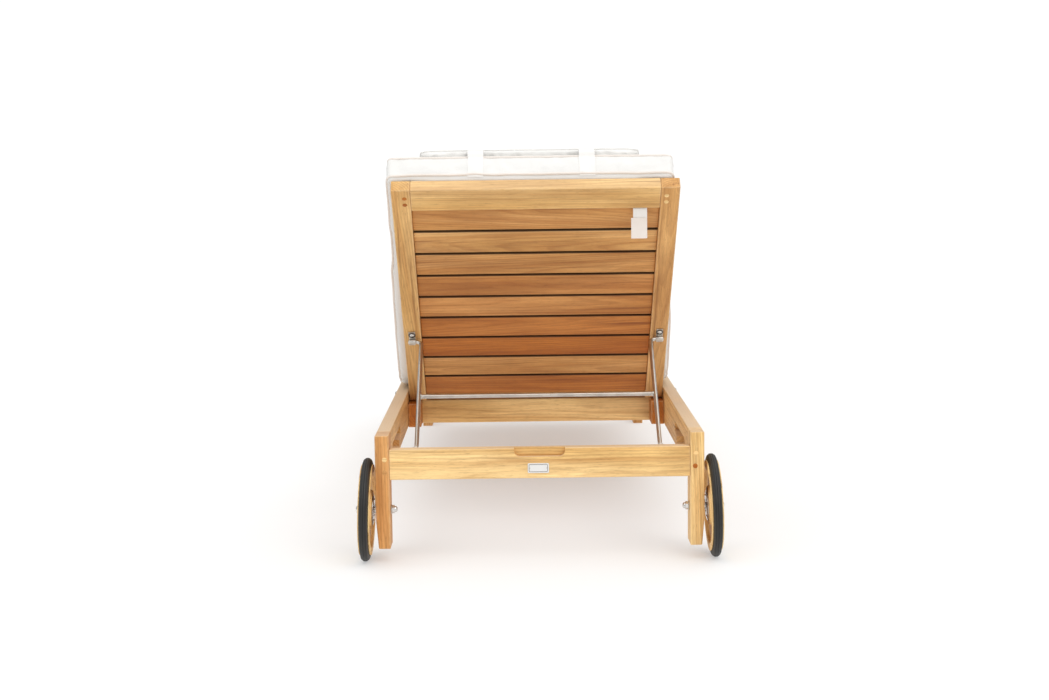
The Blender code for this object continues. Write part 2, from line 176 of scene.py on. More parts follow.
def group(name, inputs, outputs):
    """A shader node group with named sockets: its node maker, inputs and outputs."""
    tree = bpy.data.node_groups.new(name, "ShaderNodeTree")
    for label, kind, value in inputs:
        socket = tree.interface.new_socket(label, in_out="INPUT", socket_type="NodeSocket" + kind)
        socket.default_value = value
    for label, kind in outputs:
        tree.interface.new_socket(label, in_out="OUTPUT", socket_type="NodeSocket" + kind)
    made = Nodes(tree)
    return made, made.add("NodeGroupInput").outputs, made.add("NodeGroupOutput").inputs


WORLD_LIGHT = 0.45
WORLD_SEEN = 1.06
FLOOR_SIZE = 60.0
FLOOR_COLOUR = (0.530, 0.528, 0.525, 1)
FLOOR_MOTTLE = (0.545, 0.543, 0.540, 1)
FLOOR_DROP = 0.0002     # how far the floor lies below the feet
FLOOR_GLOW = 0.40       # a lit glass floor: shadows on it stay light


def set_up_world():
    """An even white room: full white where it is seen, gentler where it lights."""
    world = bpy.data.worlds.new("white room")
    bpy.context.scene.world = world
    world.use_nodes = True
    tree = Nodes(world.node_tree)
    background = world.node_tree.nodes["Background"]
    background.inputs["Color"].default_value = (1, 1, 1, 1)
    seen = tree.add("ShaderNodeLightPath").outputs["Is Camera Ray"]
    strength = tree.math("MULTIPLY_ADD", seen, WORLD_SEEN - WORLD_LIGHT, WORLD_LIGHT)
    tree.link(strength, background.inputs["Strength"])


def set_up_floor():
    """A wide pale floor, faintly mottled."""
    half = FLOOR_SIZE / 2
    mesh = bpy.data.meshes.new("floor")
    mesh.from_pydata([(-half, -half, 0), (half, -half, 0), (half, half, 0), (-half, half, 0)],
                     [], [(0, 1, 2, 3)])
    floor = bpy.data.objects.new("floor", mesh)
    bpy.context.scene.collection.objects.link(floor)
    floor.location.z = -FLOOR_DROP
    paint = bpy.data.materials.new("pale floor")
    paint.use_nodes = True
    tree = Nodes(paint.node_tree)
    shader = paint.node_tree.nodes["Principled BSDF"]
    shader.inputs["Roughness"].default_value = 0.9
    shader.inputs["Specular IOR Level"].default_value = 0.1
    shader.inputs["Emission Color"].default_value = (1, 1, 1, 1)
    shader.inputs["Emission Strength"].default_value = FLOOR_GLOW
    point = tree.add("ShaderNodeTexCoord").outputs["Object"]
    mottle = tree.noise(point, (0.7, 0.7, 0.7), 3)
    tree.link(tree.mix(mottle, FLOOR_COLOUR, FLOOR_MOTTLE), shader.inputs["Base Color"])
    mesh.materials.append(paint)


bpy.context.scene.view_settings.view_transform = "Standard"
set_up_camera()
set_up_world()
set_up_floor()
soft_sun("key", 32, 42, 1.10, 45, (1.0, 0.985, 0.96))
soft_sun("fill", -48, 48, 0.75, 55, (0.98, 0.99, 1.0))
soft_sun("overhead", 150, 76, 1.18, 80, (1.0, 1.0, 1.0))

# --- Shared shader groups -------------------------------------------------------------

HONEY = (0.930, 0.680, 0.355, 1)
GOLD = (0.715, 0.455, 0.180, 1)
BROWN = (0.575, 0.300, 0.100, 1)
RING_BROWN = (0.460, 0.228, 0.082, 1)
STREAK_BROWN = (0.310, 0.140, 0.050, 1)
PORE_BROWN = (0.21, 0.095, 0.035, 1)
FIBRE_TINTS = ((0.78, 0.75, 0.71, 1), (1.13, 1.15, 1.16, 1))
STAIN_TINTS = ((0.90, 0.84, 0.74, 1), (1.16, 1.16, 1.08, 1))
BOARD_TINTS = ((1.09, 1.11, 1.10, 1), (0.62, 0.295, 0.085, 1))
# Tan for upward faces: sun-greying, made paler as painted top light
SUN_GREYED_TOP_LIT = (0.700, 0.535, 0.365, 1)
WORN_EDGE = (0.82, 0.60, 0.34, 1)
# Painted shade: near-black for the narrow sides of the back slats, where the gaps between them fall in
# shade
PAINTED_GAP_SHADE = (0.045, 0.022, 0.010, 1)
RING_WIDTH = 0.0058


def teak_grain_group():
    """Flat-sawn timber, with X of the board point along the grain. Rings are the fraction of
    the distance from a leaning heart line / ring width; patches, streaks, fibres and pores
    are noise drawn out along the grain."""
    g, given, out = group("teak grain", [
        ("Board Point", "Vector", (0, 0, 0)), ("Heart", "Vector", (0, 0, 0)),
        ("Lean", "Vector", (0, 0, 0)), ("Seed", "Float", 0.0), ("Tone", "Float", 0.5)],
        [("Color", "Color"), ("Roughness", "Float"), ("Height", "Float")])
    point = given["Board Point"]
    seed = given["Seed"]
    shift = g.join(g.math("MULTIPLY", seed, 3.1), g.math("MULTIPLY", seed, 1.7), seed)
    moved = g.vector("ADD", point, shift)
    x, y, z = g.split(point)[:3]
    heart = g.split(given["Heart"])
    lean = g.split(given["Lean"])
    wander = g.math("SUBTRACT", g.noise(moved, (1.9, 8, 8), 2), 0.5)
    across = g.math("ADD", g.math("SUBTRACT", y, heart[1]), g.math("MULTIPLY", x, lean[1]))
    across = g.math("MULTIPLY_ADD", wander, 0.030, across)
    through = g.math("ADD", g.math("SUBTRACT", z, heart[2]), g.math("MULTIPLY", x, lean[2]))
    ripple = g.math("SUBTRACT", g.noise(moved, (6, 30, 30), 2), 0.5)
    through = g.math("MULTIPLY_ADD", ripple, 0.008, through)
    radius = g.vector("LENGTH", g.join(0.0, across, through))
    ring = g.math("FRACT", g.math("DIVIDE", radius, RING_WIDTH))
    late = g.math("MULTIPLY", g.ramp(ring, 0.35, 0.86), g.ramp(ring, 1.0, 0.90))
    age = g.noise(g.join(g.math("MULTIPLY", x, 0.9), g.math("MULTIPLY", radius, 95), seed),
                  (1, 1, 1), 3, 0.6)
    patch = g.noise(moved, (1.6, 11, 11), 2)
    streak = g.noise(moved, (2.2, 75, 75), 3, 0.6)
    fibre = g.noise(moved, (11, 520, 520), 3, 0.65)
    pore = g.ramp(g.noise(moved, (55, 1300, 1300), 1), 0.60, 0.72)

    colour = g.mix(g.ramp(patch, 0.32, 0.70), HONEY, GOLD)
    colour = g.mix(g.math("MULTIPLY", g.ramp(age, 0.42, 0.72), 0.62), colour, BROWN)
    ring_share = g.math("MULTIPLY", late, g.math("MULTIPLY_ADD", patch, 0.50, 0.06))
    colour = g.mix(ring_share, colour, RING_BROWN)
    streak_share = g.math("MULTIPLY", g.ramp(streak, 0.57, 0.76), 0.78)
    colour = g.mix(streak_share, colour, STREAK_BROWN)
    colour = g.mix(0.70, colour, g.mix(g.ramp(fibre, 0.25, 0.75), *FIBRE_TINTS), "MULTIPLY")
    stain = g.noise(g.vector("ADD", moved, (5.0, 2.0, 1.0)), (3.2, 16, 16), 3, 0.6)
    colour = g.mix(1.0, colour, g.mix(g.ramp(stain, 0.34, 0.66), *STAIN_TINTS), "MULTIPLY")
    colour = g.mix(g.math("MULTIPLY", pore, 0.38), colour, PORE_BROWN)
    tint = g.mix(given["Tone"], *BOARD_TINTS)
    g.link(g.mix(1.0, colour, tint, "MULTIPLY"), out["Color"])
    rough = g.math("MULTIPLY_ADD", fibre, 0.20, 0.42)
    g.link(g.math("MULTIPLY_ADD", pore, 0.15, rough), out["Roughness"])
    height = g.math("MULTIPLY_ADD", late, -0.22, g.math("MULTIPLY", fibre, 0.5))
    g.link(g.math("MULTIPLY_ADD", pore, -0.6, height), out["Height"])
    return g.tree


def board_edge_group():
    """Sanded edges: on a board's surface the middle one of its three distances to the
    faces is the distance to the nearest edge."""
    g, given, out = group("board edges", [
        ("Board Point", "Vector", (0, 0, 0)), ("Half Size", "Vector", (1, 1, 1)),
        ("Width", "Float", 0.004)], [("Edge", "Float")])
    point = given["Board Point"]
    a, b, c = g.split(g.vector("SUBTRACT", given["Half Size"], g.vector("ABSOLUTE", point)))[:3]
    lesser = g.math("MINIMUM", a, b)
    greater = g.math("MINIMUM", g.math("MAXIMUM", a, b), c)
    middle = g.math("MAXIMUM", lesser, greater)
    wobble = g.math("MULTIPLY_ADD", g.noise(point, (60, 60, 60), 2), 0.006, -0.003)
    g.link(g.ramp(g.math("ADD", middle, wobble), given["Width"], 0.0), out["Edge"])
    return g.tree


def greying_and_top_light_group():
    """Sun-greyed timber with painted top light: upward faces pale towards a soft grey tan, in
    cloudy patches, partly the wood's greying and partly painted light from above.
    """
    g, given, out = group("sun greying and painted top light", [
        ("Color", "Color", (1, 1, 1, 1)), ("Board Point", "Vector", (0, 0, 0)),
        ("Amount", "Float", 0.5)], [("Color", "Color")])
    upward = g.split(g.add("ShaderNodeNewGeometry").outputs["Normal"])[2]
    cloud = g.noise(given["Board Point"], (5, 24, 24), 3)
    share = g.math("MULTIPLY", g.ramp(upward, 0.45, 0.95), g.math("MULTIPLY_ADD", cloud, 0.6, 0.55))
    share = g.math("MULTIPLY", share, given["Amount"])
    g.link(g.mix(share, given["Color"], SUN_GREYED_TOP_LIT), out["Color"])
    return g.tree


def weave_group():
    """Plain-weave canvas on the cloth's own flat point (across, along, thickness):
    crossed threads, uneven yarns and faint soiling."""
    g, given, out = group("canvas weave", [
        ("Cloth Point", "Vector", (0, 0, 0)), ("Thread", "Float", 0.0012)],
        [("Shade", "Float"), ("Height", "Float")])
    point = given["Cloth Point"]
    turns = g.math("DIVIDE", 2 * pi, given["Thread"])
    a, b, c = g.split(g.vector("SCALE", point, turns))[:3]
    waves = [g.math("SINE", value) for value in (a, b, c)]
    threads = g.math("MULTIPLY", waves[0], waves[1])
    threads = g.math("MULTIPLY_ADD", waves[1], waves[2], threads)
    threads = g.math("MULTIPLY_ADD", waves[0], waves[2], threads)
    yarn = g.noise(point, (900, 60, 900), 2)
    yarn = g.math("ADD", yarn, g.noise(point, (60, 900, 60), 2))
    cloud = g.noise(point, (9, 9, 9), 3)
    shade = g.math("MULTIPLY_ADD", yarn, 0.25, g.math("MULTIPLY", cloud, 0.5))
    g.link(g.math("MULTIPLY_ADD", threads, 0.06, shade), out["Shade"])
    g.link(g.math("MULTIPLY_ADD", threads, 0.5, g.math("MULTIPLY", yarn, 0.5)), out["Height"])
    return g.tree


def handling_group():
    """Used metal and rubber: cloudy smears, and fine brushing with a scale on each axis."""
    g, given, out = group("handling marks", [
        ("Point", "Vector", (0, 0, 0)), ("Brush", "Vector", (30, 900, 900))],
        [("Smear", "Float"), ("Brushing", "Float")])
    g.link(g.noise(given["Point"], (28, 28, 28), 3, 0.6), out["Smear"])
    brush = g.add("ShaderNodeTexNoise", {
        "Vector": g.vector("MULTIPLY", given["Point"], given["Brush"]), "Scale": 1.0, "Detail": 2.0})
    g.link(brush.outputs[0], out["Brushing"])
    return g.tree


GRAIN = teak_grain_group()
EDGES = board_edge_group()
GREYING_AND_TOP_LIGHT = greying_and_top_light_group()
WEAVE = weave_group()
HANDLING = handling_group()


def new_material(name):
    """A material with its node maker and its Principled shader."""
    made = bpy.data.materials.new(name)
    made.use_nodes = True
    return made, Nodes(made.node_tree), made.node_tree.nodes["Principled BSDF"]


def bumped(tree, shader, height, strength, distance):
    """A bump on the shader's normal, distance deep at full height."""
    bump = tree.add("ShaderNodeBump", {"Strength": strength, "Distance": distance, "Height": height})
    tree.link(bump.outputs[0], shader.inputs["Normal"])


HEART_ASIDE = 0.05              # the heart line lies up to this far aside of the board
HEART_BELOW = (0.012, 0.060)    # and this far above or below it
PAINTED_GAP_SHADE_BAND = (0.0022, 0.0006)   # where the painted gap shade starts and is full, in from a board's side


def teak(name, centre, axes, half, seed, tone, lean=(0, 0, 0), greying_and_top_light=0.0, heart=None, gap_shade=0.0):
    """Teak for one board. axes are its grain, width and thickness directions. Edges are worn
    pale, or painted shade darkens the narrow sides of close-laid boards, where the gaps fall in shade."""
    made, tree, shader = new_material(name)
    turn = Matrix([list(axis) for axis in axes])
    place = tree.add("ShaderNodeMapping", {
        "Vector": tree.add("ShaderNodeTexCoord").outputs["Object"],
        "Rotation": turn.to_euler("XYZ"), "Location": -(turn @ Vector(centre))}).outputs[0]
    draw = np.random.default_rng(int(seed * 1000) + 7)
    if heart is None:
        heart = (0, draw.uniform(-HEART_ASIDE, HEART_ASIDE),
                 draw.choice((-1, 1)) * draw.uniform(*HEART_BELOW))
    grain = tree.add("ShaderNodeGroup", node_tree=GRAIN)
    for key, value in (("Heart", heart), ("Lean", lean), ("Seed", seed), ("Tone", tone)):
        grain.inputs[key].default_value = value
    tree.link(place, grain.inputs["Board Point"])
    edges = tree.add("ShaderNodeGroup", node_tree=EDGES)
    edges.inputs["Half Size"].default_value = half
    tree.link(place, edges.inputs["Board Point"])
    colour = grain.outputs["Color"]
    # Upward faces pale, partly sun-greying and partly painted top light
    if greying_and_top_light:
        greyed_and_lit = tree.add("ShaderNodeGroup", node_tree=GREYING_AND_TOP_LIGHT)
        greyed_and_lit.inputs["Amount"].default_value = greying_and_top_light
        tree.link(colour, greyed_and_lit.inputs["Color"])
        tree.link(place, greyed_and_lit.inputs["Board Point"])
        colour = greyed_and_lit.outputs["Color"]
    # Painted shade: the narrow sides of close-laid boards darken as the shade in the gaps between them
    if gap_shade:
        width = tree.math("ABSOLUTE", tree.split(place)[1])
        starts, full = (half[1] - band for band in PAINTED_GAP_SHADE_BAND)
        share = tree.math("MULTIPLY", tree.ramp(width, starts, full), gap_shade)
        colour = tree.mix(share, colour, PAINTED_GAP_SHADE)
    else:
        share = tree.math("MULTIPLY", edges.outputs["Edge"], 0.30)
        colour = tree.mix(share, colour, WORN_EDGE)
    tree.link(colour, shader.inputs["Base Color"])
    rough = tree.math("MULTIPLY_ADD", edges.outputs["Edge"], -0.08, grain.outputs["Roughness"])
    tree.link(rough, shader.inputs["Roughness"])
    shader.inputs["Specular IOR Level"].default_value = 0.35
    bumped(tree, shader, grain.outputs["Height"], 0.35, 0.0006)
    return made


def board_axes(node, turned):
    """The grain, width and thickness directions of a board, with its middle and half size."""
    co = np.array([vert.co for vert in nodes[node].data.vertices])
    own = np.array((((1, 0, 0), -REACH, LIFT) if turned else np.eye(3)), float)
    place = co @ own.T
    low, high = place.min(0), place.max(0)
    order = np.argsort(low - high)
    axes = own[order]
    if np.linalg.det(axes) < 0:
        axes[2] *= -1
    middle = own.T @ ((low + high) / 2)
    return middle, axes, ((high - low) / 2)[order]


# Each board's tone, from pale (0) to dark (1), and the sun-greying and painted top light of its upward
# faces
BOARDS = {
    "wheel_leg_left": (0.70, 0.6), "wheel_leg_right": (0.02, 0.6),
    "front_leg_left": (0.60, 0.5), "front_leg_right": (0.50, 0.5),
    "side_rail_left": (0.30, 1.0), "side_rail_right": (0.25, 1.0),
    "rear_rail": (0.08, 0.7), "front_rail": (0.3, 0.5), "hinge_rail": (0.27, 0.0),
    # Hinge block tones past 1 are painted shade: darker than any board, for the shade between the side
    # rails
    "hinge_block_left": (1.12, 0.0), "hinge_block_right": (1.05, 0.0),
    "slat_bearer_left": (0.6, 0.0), "slat_bearer_right": (0.5, 0.0),
    "back_stile_left": (0.25, 0.0), "back_stile_right": (0.48, 0.0),
    "back_top_rail": (0.17, 0.45),
}
BACK_SLAT_TONES = (0.94, 0.60, 1.01, 0.92, 0.76, 0.76, 0.60, 0.48, 0.60)
SEAT_SLAT_TONES = (0.45, 0.30, 0.62, 0.38, 0.52, 0.28, 0.70, 0.35, 0.48, 0.58, 0.26, 0.40, 0.5)
# How strongly the back slats' narrow sides are painted dark as gap shade
PAINTED_GAP_SHADE_AMOUNT = 0.85
for number, tone in enumerate(BACK_SLAT_TONES):
    BOARDS[f"back_slat_{number + 1}"] = (tone, 0.0)
for number, tone in enumerate(SEAT_SLAT_TONES):
    BOARDS[f"seat_slat_{number + 1:02d}"] = (tone, 0.3)


def finish_boards():
    """Every board gets its own cut from the log, its tone, and its sun-greying with painted top light.
    """
    draw = np.random.default_rng(11)
    for number, (node, (tone, greying_and_top_light)) in enumerate(BOARDS.items()):
        middle, axes, half = board_axes(node, node.startswith("back_"))
        lean = (0, draw.uniform(-0.06, 0.06), draw.uniform(-0.05, 0.05))
        made = teak("teak_" + node, middle, axes, half, 1.37 * number + 0.61, tone, lean, greying_and_top_light,
                    gap_shade=PAINTED_GAP_SHADE_AMOUNT if node.startswith("back_slat") else 0.0)
        nodes[node].data.materials.clear()
        nodes[node].data.materials.append(made)


finish_boards()


def marked_material(name, brush):
    """A material with handling marks: also its nodes, its shader, smears and brushing."""
    made, tree, shader = new_material(name)
    marks = tree.add("ShaderNodeGroup", node_tree=HANDLING)
    marks.inputs["Brush"].default_value = brush
    tree.link(tree.add("ShaderNodeTexCoord").outputs["Object"], marks.inputs["Point"])
    return made, tree, shader, marks.outputs["Smear"], marks.outputs["Brushing"]


def steel(name, colour, rough, brush):
    """Stainless steel with smears and brushing."""
    made, tree, shader, smear, brushing = marked_material(name, brush)
    darker = tuple(0.80 * channel for channel in colour)
    smear = tree.ramp(smear, 0.35, 0.70)
    tree.link(tree.mix(smear, (*colour, 1), (*darker, 1)), shader.inputs["Base Color"])
    spread = tree.math("MULTIPLY_ADD", smear, 0.12, rough)
    tree.link(tree.math("MULTIPLY_ADD", brushing, 0.10, spread), shader.inputs["Roughness"])
    shader.inputs["Metallic"].default_value = 1.0
    bumped(tree, shader, brushing, 0.25, 0.0001)
    return made


def rubber():
    """Matt black rubber, dusty in patches."""
    made, tree, shader, smear, brushing = marked_material("rubber", (700, 700, 700))
    dust = tree.ramp(smear, 0.45, 0.75)
    tree.link(tree.mix(dust, (0.013, 0.0126, 0.0115, 1), (0.033, 0.031, 0.028, 1)),
              shader.inputs["Base Color"])
    tree.link(tree.math("MULTIPLY_ADD", dust, 0.22, 0.52), shader.inputs["Roughness"])
    bumped(tree, shader, brushing, 0.3, 0.0003)
    return made


def enamel():
    """White enamel with a faint orange-peel surface."""
    made, tree, shader, smear, brushing = marked_material("white enamel", (500, 500, 500))
    tree.link(tree.mix(smear, (0.84, 0.83, 0.81, 1), (0.74, 0.73, 0.71, 1)),
              shader.inputs["Base Color"])
    tree.link(tree.math("MULTIPLY_ADD", brushing, 0.1, 0.25), shader.inputs["Roughness"])
    bumped(tree, shader, brushing, 0.1, 0.0002)
    return made


def canvas(name, light, dark, thread=0.0012, strength=0.35):
    """Woven fabric that follows the cloth's own flat point."""
    made, tree, shader = new_material(name)
    weave = tree.add("ShaderNodeGroup", node_tree=WEAVE)
    weave.inputs["Thread"].default_value = thread
    point = tree.add("ShaderNodeAttribute", attribute_name="cloth_point").outputs["Vector"]
    tree.link(point, weave.inputs["Cloth Point"])
    shade = tree.ramp(weave.outputs["Shade"], 0.25, 0.85)
    tree.link(tree.mix(shade, (*light, 1), (*dark, 1)), shader.inputs["Base Color"])
    tree.link(tree.math("MULTIPLY_ADD", shade, 0.1, 0.82), shader.inputs["Roughness"])
    shader.inputs["Sheen Weight"].default_value = 0.15
    shader.inputs["Specular IOR Level"].default_value = 0.25
    bumped(tree, shader, weave.outputs["Height"], strength, 0.0004)
    return made


ROD_STEEL = steel("satin_steel", (0.66, 0.625, 0.575), 0.24, (900, 60, 60))
BRIGHT_STEEL = steel("bright_steel", (0.80, 0.79, 0.77), 0.12, (700, 700, 700))
# Dark steel; on the bracket washers it is painted shade for the gap round the screw head
DARK_STEEL_AND_SHADE = steel("dark_steel_and_painted_shade", (0.16, 0.145, 0.13), 0.30, (700, 700, 700))
RUBBER = rubber()
CANVAS = canvas("cream_canvas", (0.825, 0.817, 0.798), (0.770, 0.761, 0.738))
# Painted light: the cushion's cream fabric made lighter for the pillow, which would otherwise shade
# grey
PILLOW_CANVAS_PAINTED_LIGHT = canvas("pillow_canvas_painted_light", (0.895, 0.888, 0.868), (0.855, 0.846, 0.825), strength=0.10)
# Piping cloth, tinted sand-brown as painted shade and reflected wood colour along the seam under it
PIPING_CLOTH_SHADE_TINTED = canvas("piping_cloth_painted_shade", (0.86, 0.80, 0.745), (0.78, 0.71, 0.65), 0.0009)
WEBBING = canvas("white_webbing", (0.90, 0.885, 0.86), (0.82, 0.80, 0.775), 0.0016, 0.5)
HOOK_PAD = canvas("hook_pad", (0.86, 0.80, 0.745), (0.79, 0.72, 0.665), 0.0011, 0.7)
# Painted shade: a near-black cloth for the cushion's resting underside, so the gaps between the slats
# read dark
PAINTED_SHADE_UNDERSIDE = canvas("underside_painted_shade", (0.060, 0.041, 0.028), (0.038, 0.026, 0.018), 0.0016, 0.5)
ENAMEL = enamel()

# --- Surfaces worked out as arrays ------------------------------------------------------


def piece_from(name, points, faces, finish, body=None, sharp=35.0):
    """A finished piece: doubles merged, faces outwards, smooth with sharp corners kept."""
    mesh = bpy.data.meshes.new(name)
    mesh.from_pydata(np.asarray(points).tolist(), [], faces)
    shape = bmesh.new()
    shape.from_mesh(mesh)
    bmesh.ops.remove_doubles(shape, verts=shape.verts, dist=1e-6)
    bmesh.ops.dissolve_degenerate(shape, edges=shape.edges, dist=1e-7)
    bmesh.ops.recalc_face_normals(shape, faces=shape.faces)
    shape.to_mesh(mesh)
    shape.free()
    mesh.shade_smooth()
    mesh.set_sharp_from_angle(angle=radians(sharp))
    piece = bpy.data.objects.new(name, mesh)
    bpy.context.scene.collection.objects.link(piece)
    mesh.materials.append(finish)
    if body:
        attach(piece, body)
    return piece


def grid_faces(rows, columns, loop_rows=False, loop_columns=True, caps=True):
    """Quads of a rows x columns grid, with its open ends closed by one face each."""
    row = np.arange(rows if loop_rows else rows - 1)
    column = np.arange(columns if loop_columns else columns - 1)
    a, b = np.meshgrid(row, column, indexing="ij")
    after_a, after_b = (a + 1) % rows, (b + 1) % columns
    quads = np.stack([a * columns + b, a * columns + after_b, after_a * columns + after_b,
                      after_a * columns + b], -1).reshape(-1, 4).tolist()
    if caps and not loop_rows:
        quads.append(list(range(columns)))
        quads.append(list(range((rows - 1) * columns, rows * columns)))
    return quads


NEARLY_STRAIGHT = 1.55      # half angle of a corner that stays as it is
SIDE_SHARE = 0.45           # the most of a side that an arc may take


def filleted(corners, radius, steps=5, closed=True):
    """A line through corners with each corner turned into an arc. The arc's middle lies
    on the corner's bisector, radius / sin(half angle) away; short sides get less."""
    corners = np.asarray(corners, float)
    count = len(corners)
    path = []
    for i in range(count):
        if not closed and i in (0, count - 1):
            path.append(corners[i])
            continue
        here = corners[i]
        before, after = corners[i - 1] - here, corners[(i + 1) % count] - here
        long_a, long_b = np.linalg.norm(before), np.linalg.norm(after)
        before, after = before / long_a, after / long_b
        half = np.arccos(np.clip(before @ after, -1, 1)) / 2
        if half > NEARLY_STRAIGHT:
            path.append(here)
            continue
        cut = min(radius / tan(half), SIDE_SHARE * long_a, SIDE_SHARE * long_b)
        bend = cut * tan(half)
        inward = (before + after) / np.linalg.norm(before + after)
        middle = here + inward * bend / sin(half)
        first, last = here + before * cut - middle, here + after * cut - middle
        share = np.linspace(0, 1, steps + 1)[:, None]
        opening = pi - 2 * half
        arc = (np.sin((1 - share) * opening) * first + np.sin(share * opening) * last) / sin(opening)
        path.extend(middle + arc)
    return np.array(path)


def turned(name, profile, finish, body, slot, centre, axis=(1, 0, 0), turns=96, hexagon=None):
    """A profile of (distance, radius) turned about an axis. Where hexagon says so, the
    radius is that of a six-sided bar: apothem / cos of the angle off the flat's middle."""
    profile = np.asarray(profile, float)
    axis = np.asarray(axis, float) / np.linalg.norm(axis)
    helper = np.array((0.0, 1, 0)) if abs(axis[1]) < 0.9 else np.array((0, 0, 1.0))
    second = helper - axis * (helper @ axis)
    second /= np.linalg.norm(second)
    third = np.cross(axis, second)
    angle = np.linspace(0, 2 * pi, turns, endpoint=False)
    radius = np.repeat(profile[:, 1:], turns, 1)
    if hexagon is not None:
        off_flat = (angle + pi / 6) % (pi / 3) - pi / 6
        share = np.asarray(hexagon, float)[:, None]
        radius = radius * (1 - share + share / np.cos(off_flat)[None])
    ring = np.cos(angle)[None, :, None] * second + np.sin(angle)[None, :, None] * third
    points = np.asarray(centre) + profile[:, :1, None] * axis + radius[..., None] * ring
    bored = bool(profile[0, 1] > 0 and profile[-1, 1] > 0)
    faces = grid_faces(len(profile), turns, loop_rows=bored)
    return piece_from(name, points.reshape(-1, 3), faces, finish, body)


def sections_along(path, closed=False):
    """Two directions square to a path at each point, carried along it without twist."""
    path = np.asarray(path, float)
    if closed:
        run = np.roll(path, -1, 0) - np.roll(path, 1, 0)
    else:
        run = np.gradient(path, axis=0)
    run /= np.linalg.norm(run, axis=1)[:, None]
    side = np.cross(run[0], (0.31, 0.17, 0.94))
    sides = []
    for direction in run:
        side = side - direction * (side @ direction)
        side = side / np.linalg.norm(side)
        sides.append(side)
    sides = np.array(sides)
    return sides, np.cross(run, sides)


def tube(name, path, radius, finish, body, around=20, closed=False):
    """A round bar: path + radius (cos a side + sin a up), with the sections untwisted."""
    path = np.asarray(path, float)
    side, up = sections_along(path, closed)
    angle = np.linspace(0, 2 * pi, around, endpoint=False)
    ring = np.cos(angle)[None, :, None] * side[:, None] + np.sin(angle)[None, :, None] * up[:, None]
    size = np.broadcast_to(np.asarray(radius, float), len(path))
    points = path[:, None] + size[:, None, None] * ring
    faces = grid_faces(len(path), around, loop_rows=closed)
    return piece_from(name, points.reshape(-1, 3), faces, finish, body, 50)


def flat_strip(name, path, low_x, high_x, thickness, finish, body):
    """A strip that lies across X: its section is a thin rectangle with rounded edges,
    carried along a (y, z) path."""
    path = np.asarray(path, float)
    run = np.gradient(path, axis=0)
    run /= np.linalg.norm(run, axis=1)[:, None]
    out = np.stack([-run[:, 1], run[:, 0]], 1)
    half_x, half_t = (high_x - low_x) / 2, thickness / 2
    corners = [(-half_x, -half_t), (half_x, -half_t), (half_x, half_t), (-half_x, half_t)]
    section = filleted(corners, half_t * 0.8, 3)
    place = path[:, None] + section[None, :, 1:] * out[:, None]
    x = np.broadcast_to((low_x + high_x) / 2 + section[None, :, 0], place.shape[:2])
    points = np.concatenate([x[..., None], place], -1)
    faces = grid_faces(len(path), len(section))
    return piece_from(name, points.reshape(-1, 3), faces, finish, body, 50)


def even(path, count, closed=False):
    """The same line as count points at equal distances."""
    path = np.asarray(path, float)
    if closed:
        path = np.vstack([path, path[:1]])
    length = np.concatenate([[0], np.cumsum(np.linalg.norm(np.diff(path, axis=0), axis=1))])
    at = np.linspace(0, length[-1], count, endpoint=not closed)
    return np.stack([np.interp(at, length, path[:, i]) for i in range(path.shape[1])], 1)


# --- Wheels -----------------------------------------------------------------------------

TYRE_RADIUS = 0.1110
TYRE_HALF = 0.0092
WHEEL_X = joints["wheel_right_spin"]["pos_m"][0]
GROOVE = 0.090
DISC_RADIUS = 0.0975
DISC_HALF = 0.0125
DISH = 0.006
FLANGE_RADIUS = 0.032
FLANGE_THICK = 0.0030
RIVET_CIRCLE = 0.0225
RIVETS = 6
SLEEVE = 0.0095
BORE = 0.0066
FIT = 0.0003            # the gap left between pieces that meet
TREAD_GROOVE = 0.0010


def tyre_profile():
    """A half-round tread with three shallow grooves: radius less a narrow dip at each."""
    angle = np.linspace(0, pi, 61)
    crown = TYRE_RADIUS - TYRE_HALF
    dip = sum(np.exp(-((angle - pi / 2 - off) / 0.075) ** 2) for off in (-0.62, 0, 0.62))
    round_off = TYRE_HALF - TREAD_GROOVE * np.clip(dip, 0, 1)
    tread = np.stack([round_off * np.cos(angle), crown + round_off * np.sin(angle)], 1)
    foot = GROOVE + FIT
    return np.vstack([[(TYRE_HALF, foot)], tread, [(-TYRE_HALF, foot)]])


def disc_profile():
    """The wooden disc: a rim with the tyre's groove, a dished face and a raised middle."""
    half = [(TYRE_HALF + FIT, GROOVE), (TYRE_HALF + FIT, DISC_RADIUS), (DISC_HALF, DISC_RADIUS),
            (DISC_HALF, DISC_RADIUS - 0.016), (DISC_HALF - DISH, DISC_RADIUS - 0.019),
            (DISC_HALF - DISH, FLANGE_RADIUS + 0.012), (DISC_HALF, FLANGE_RADIUS + 0.008),
            (DISC_HALF, SLEEVE + FIT)]
    return filleted(half + [(-x, r) for x, r in reversed(half)], 0.0014, 4)


def hub_profile():
    """A steel sleeve with a rounded flange on each face."""
    face = DISC_HALF + FIT
    half = [(face, SLEEVE), (face, FLANGE_RADIUS), (face + 0.0018, FLANGE_RADIUS),
            (face + FLANGE_THICK, FLANGE_RADIUS - 0.004), (face + FLANGE_THICK, BORE)]
    return filleted(half + [(-x, r) for x, r in reversed(half)], 0.0008, 3)


NO_EDGES = (0.2, 0.2, 0.2)      # a half size too large for any edge of the piece to be worn


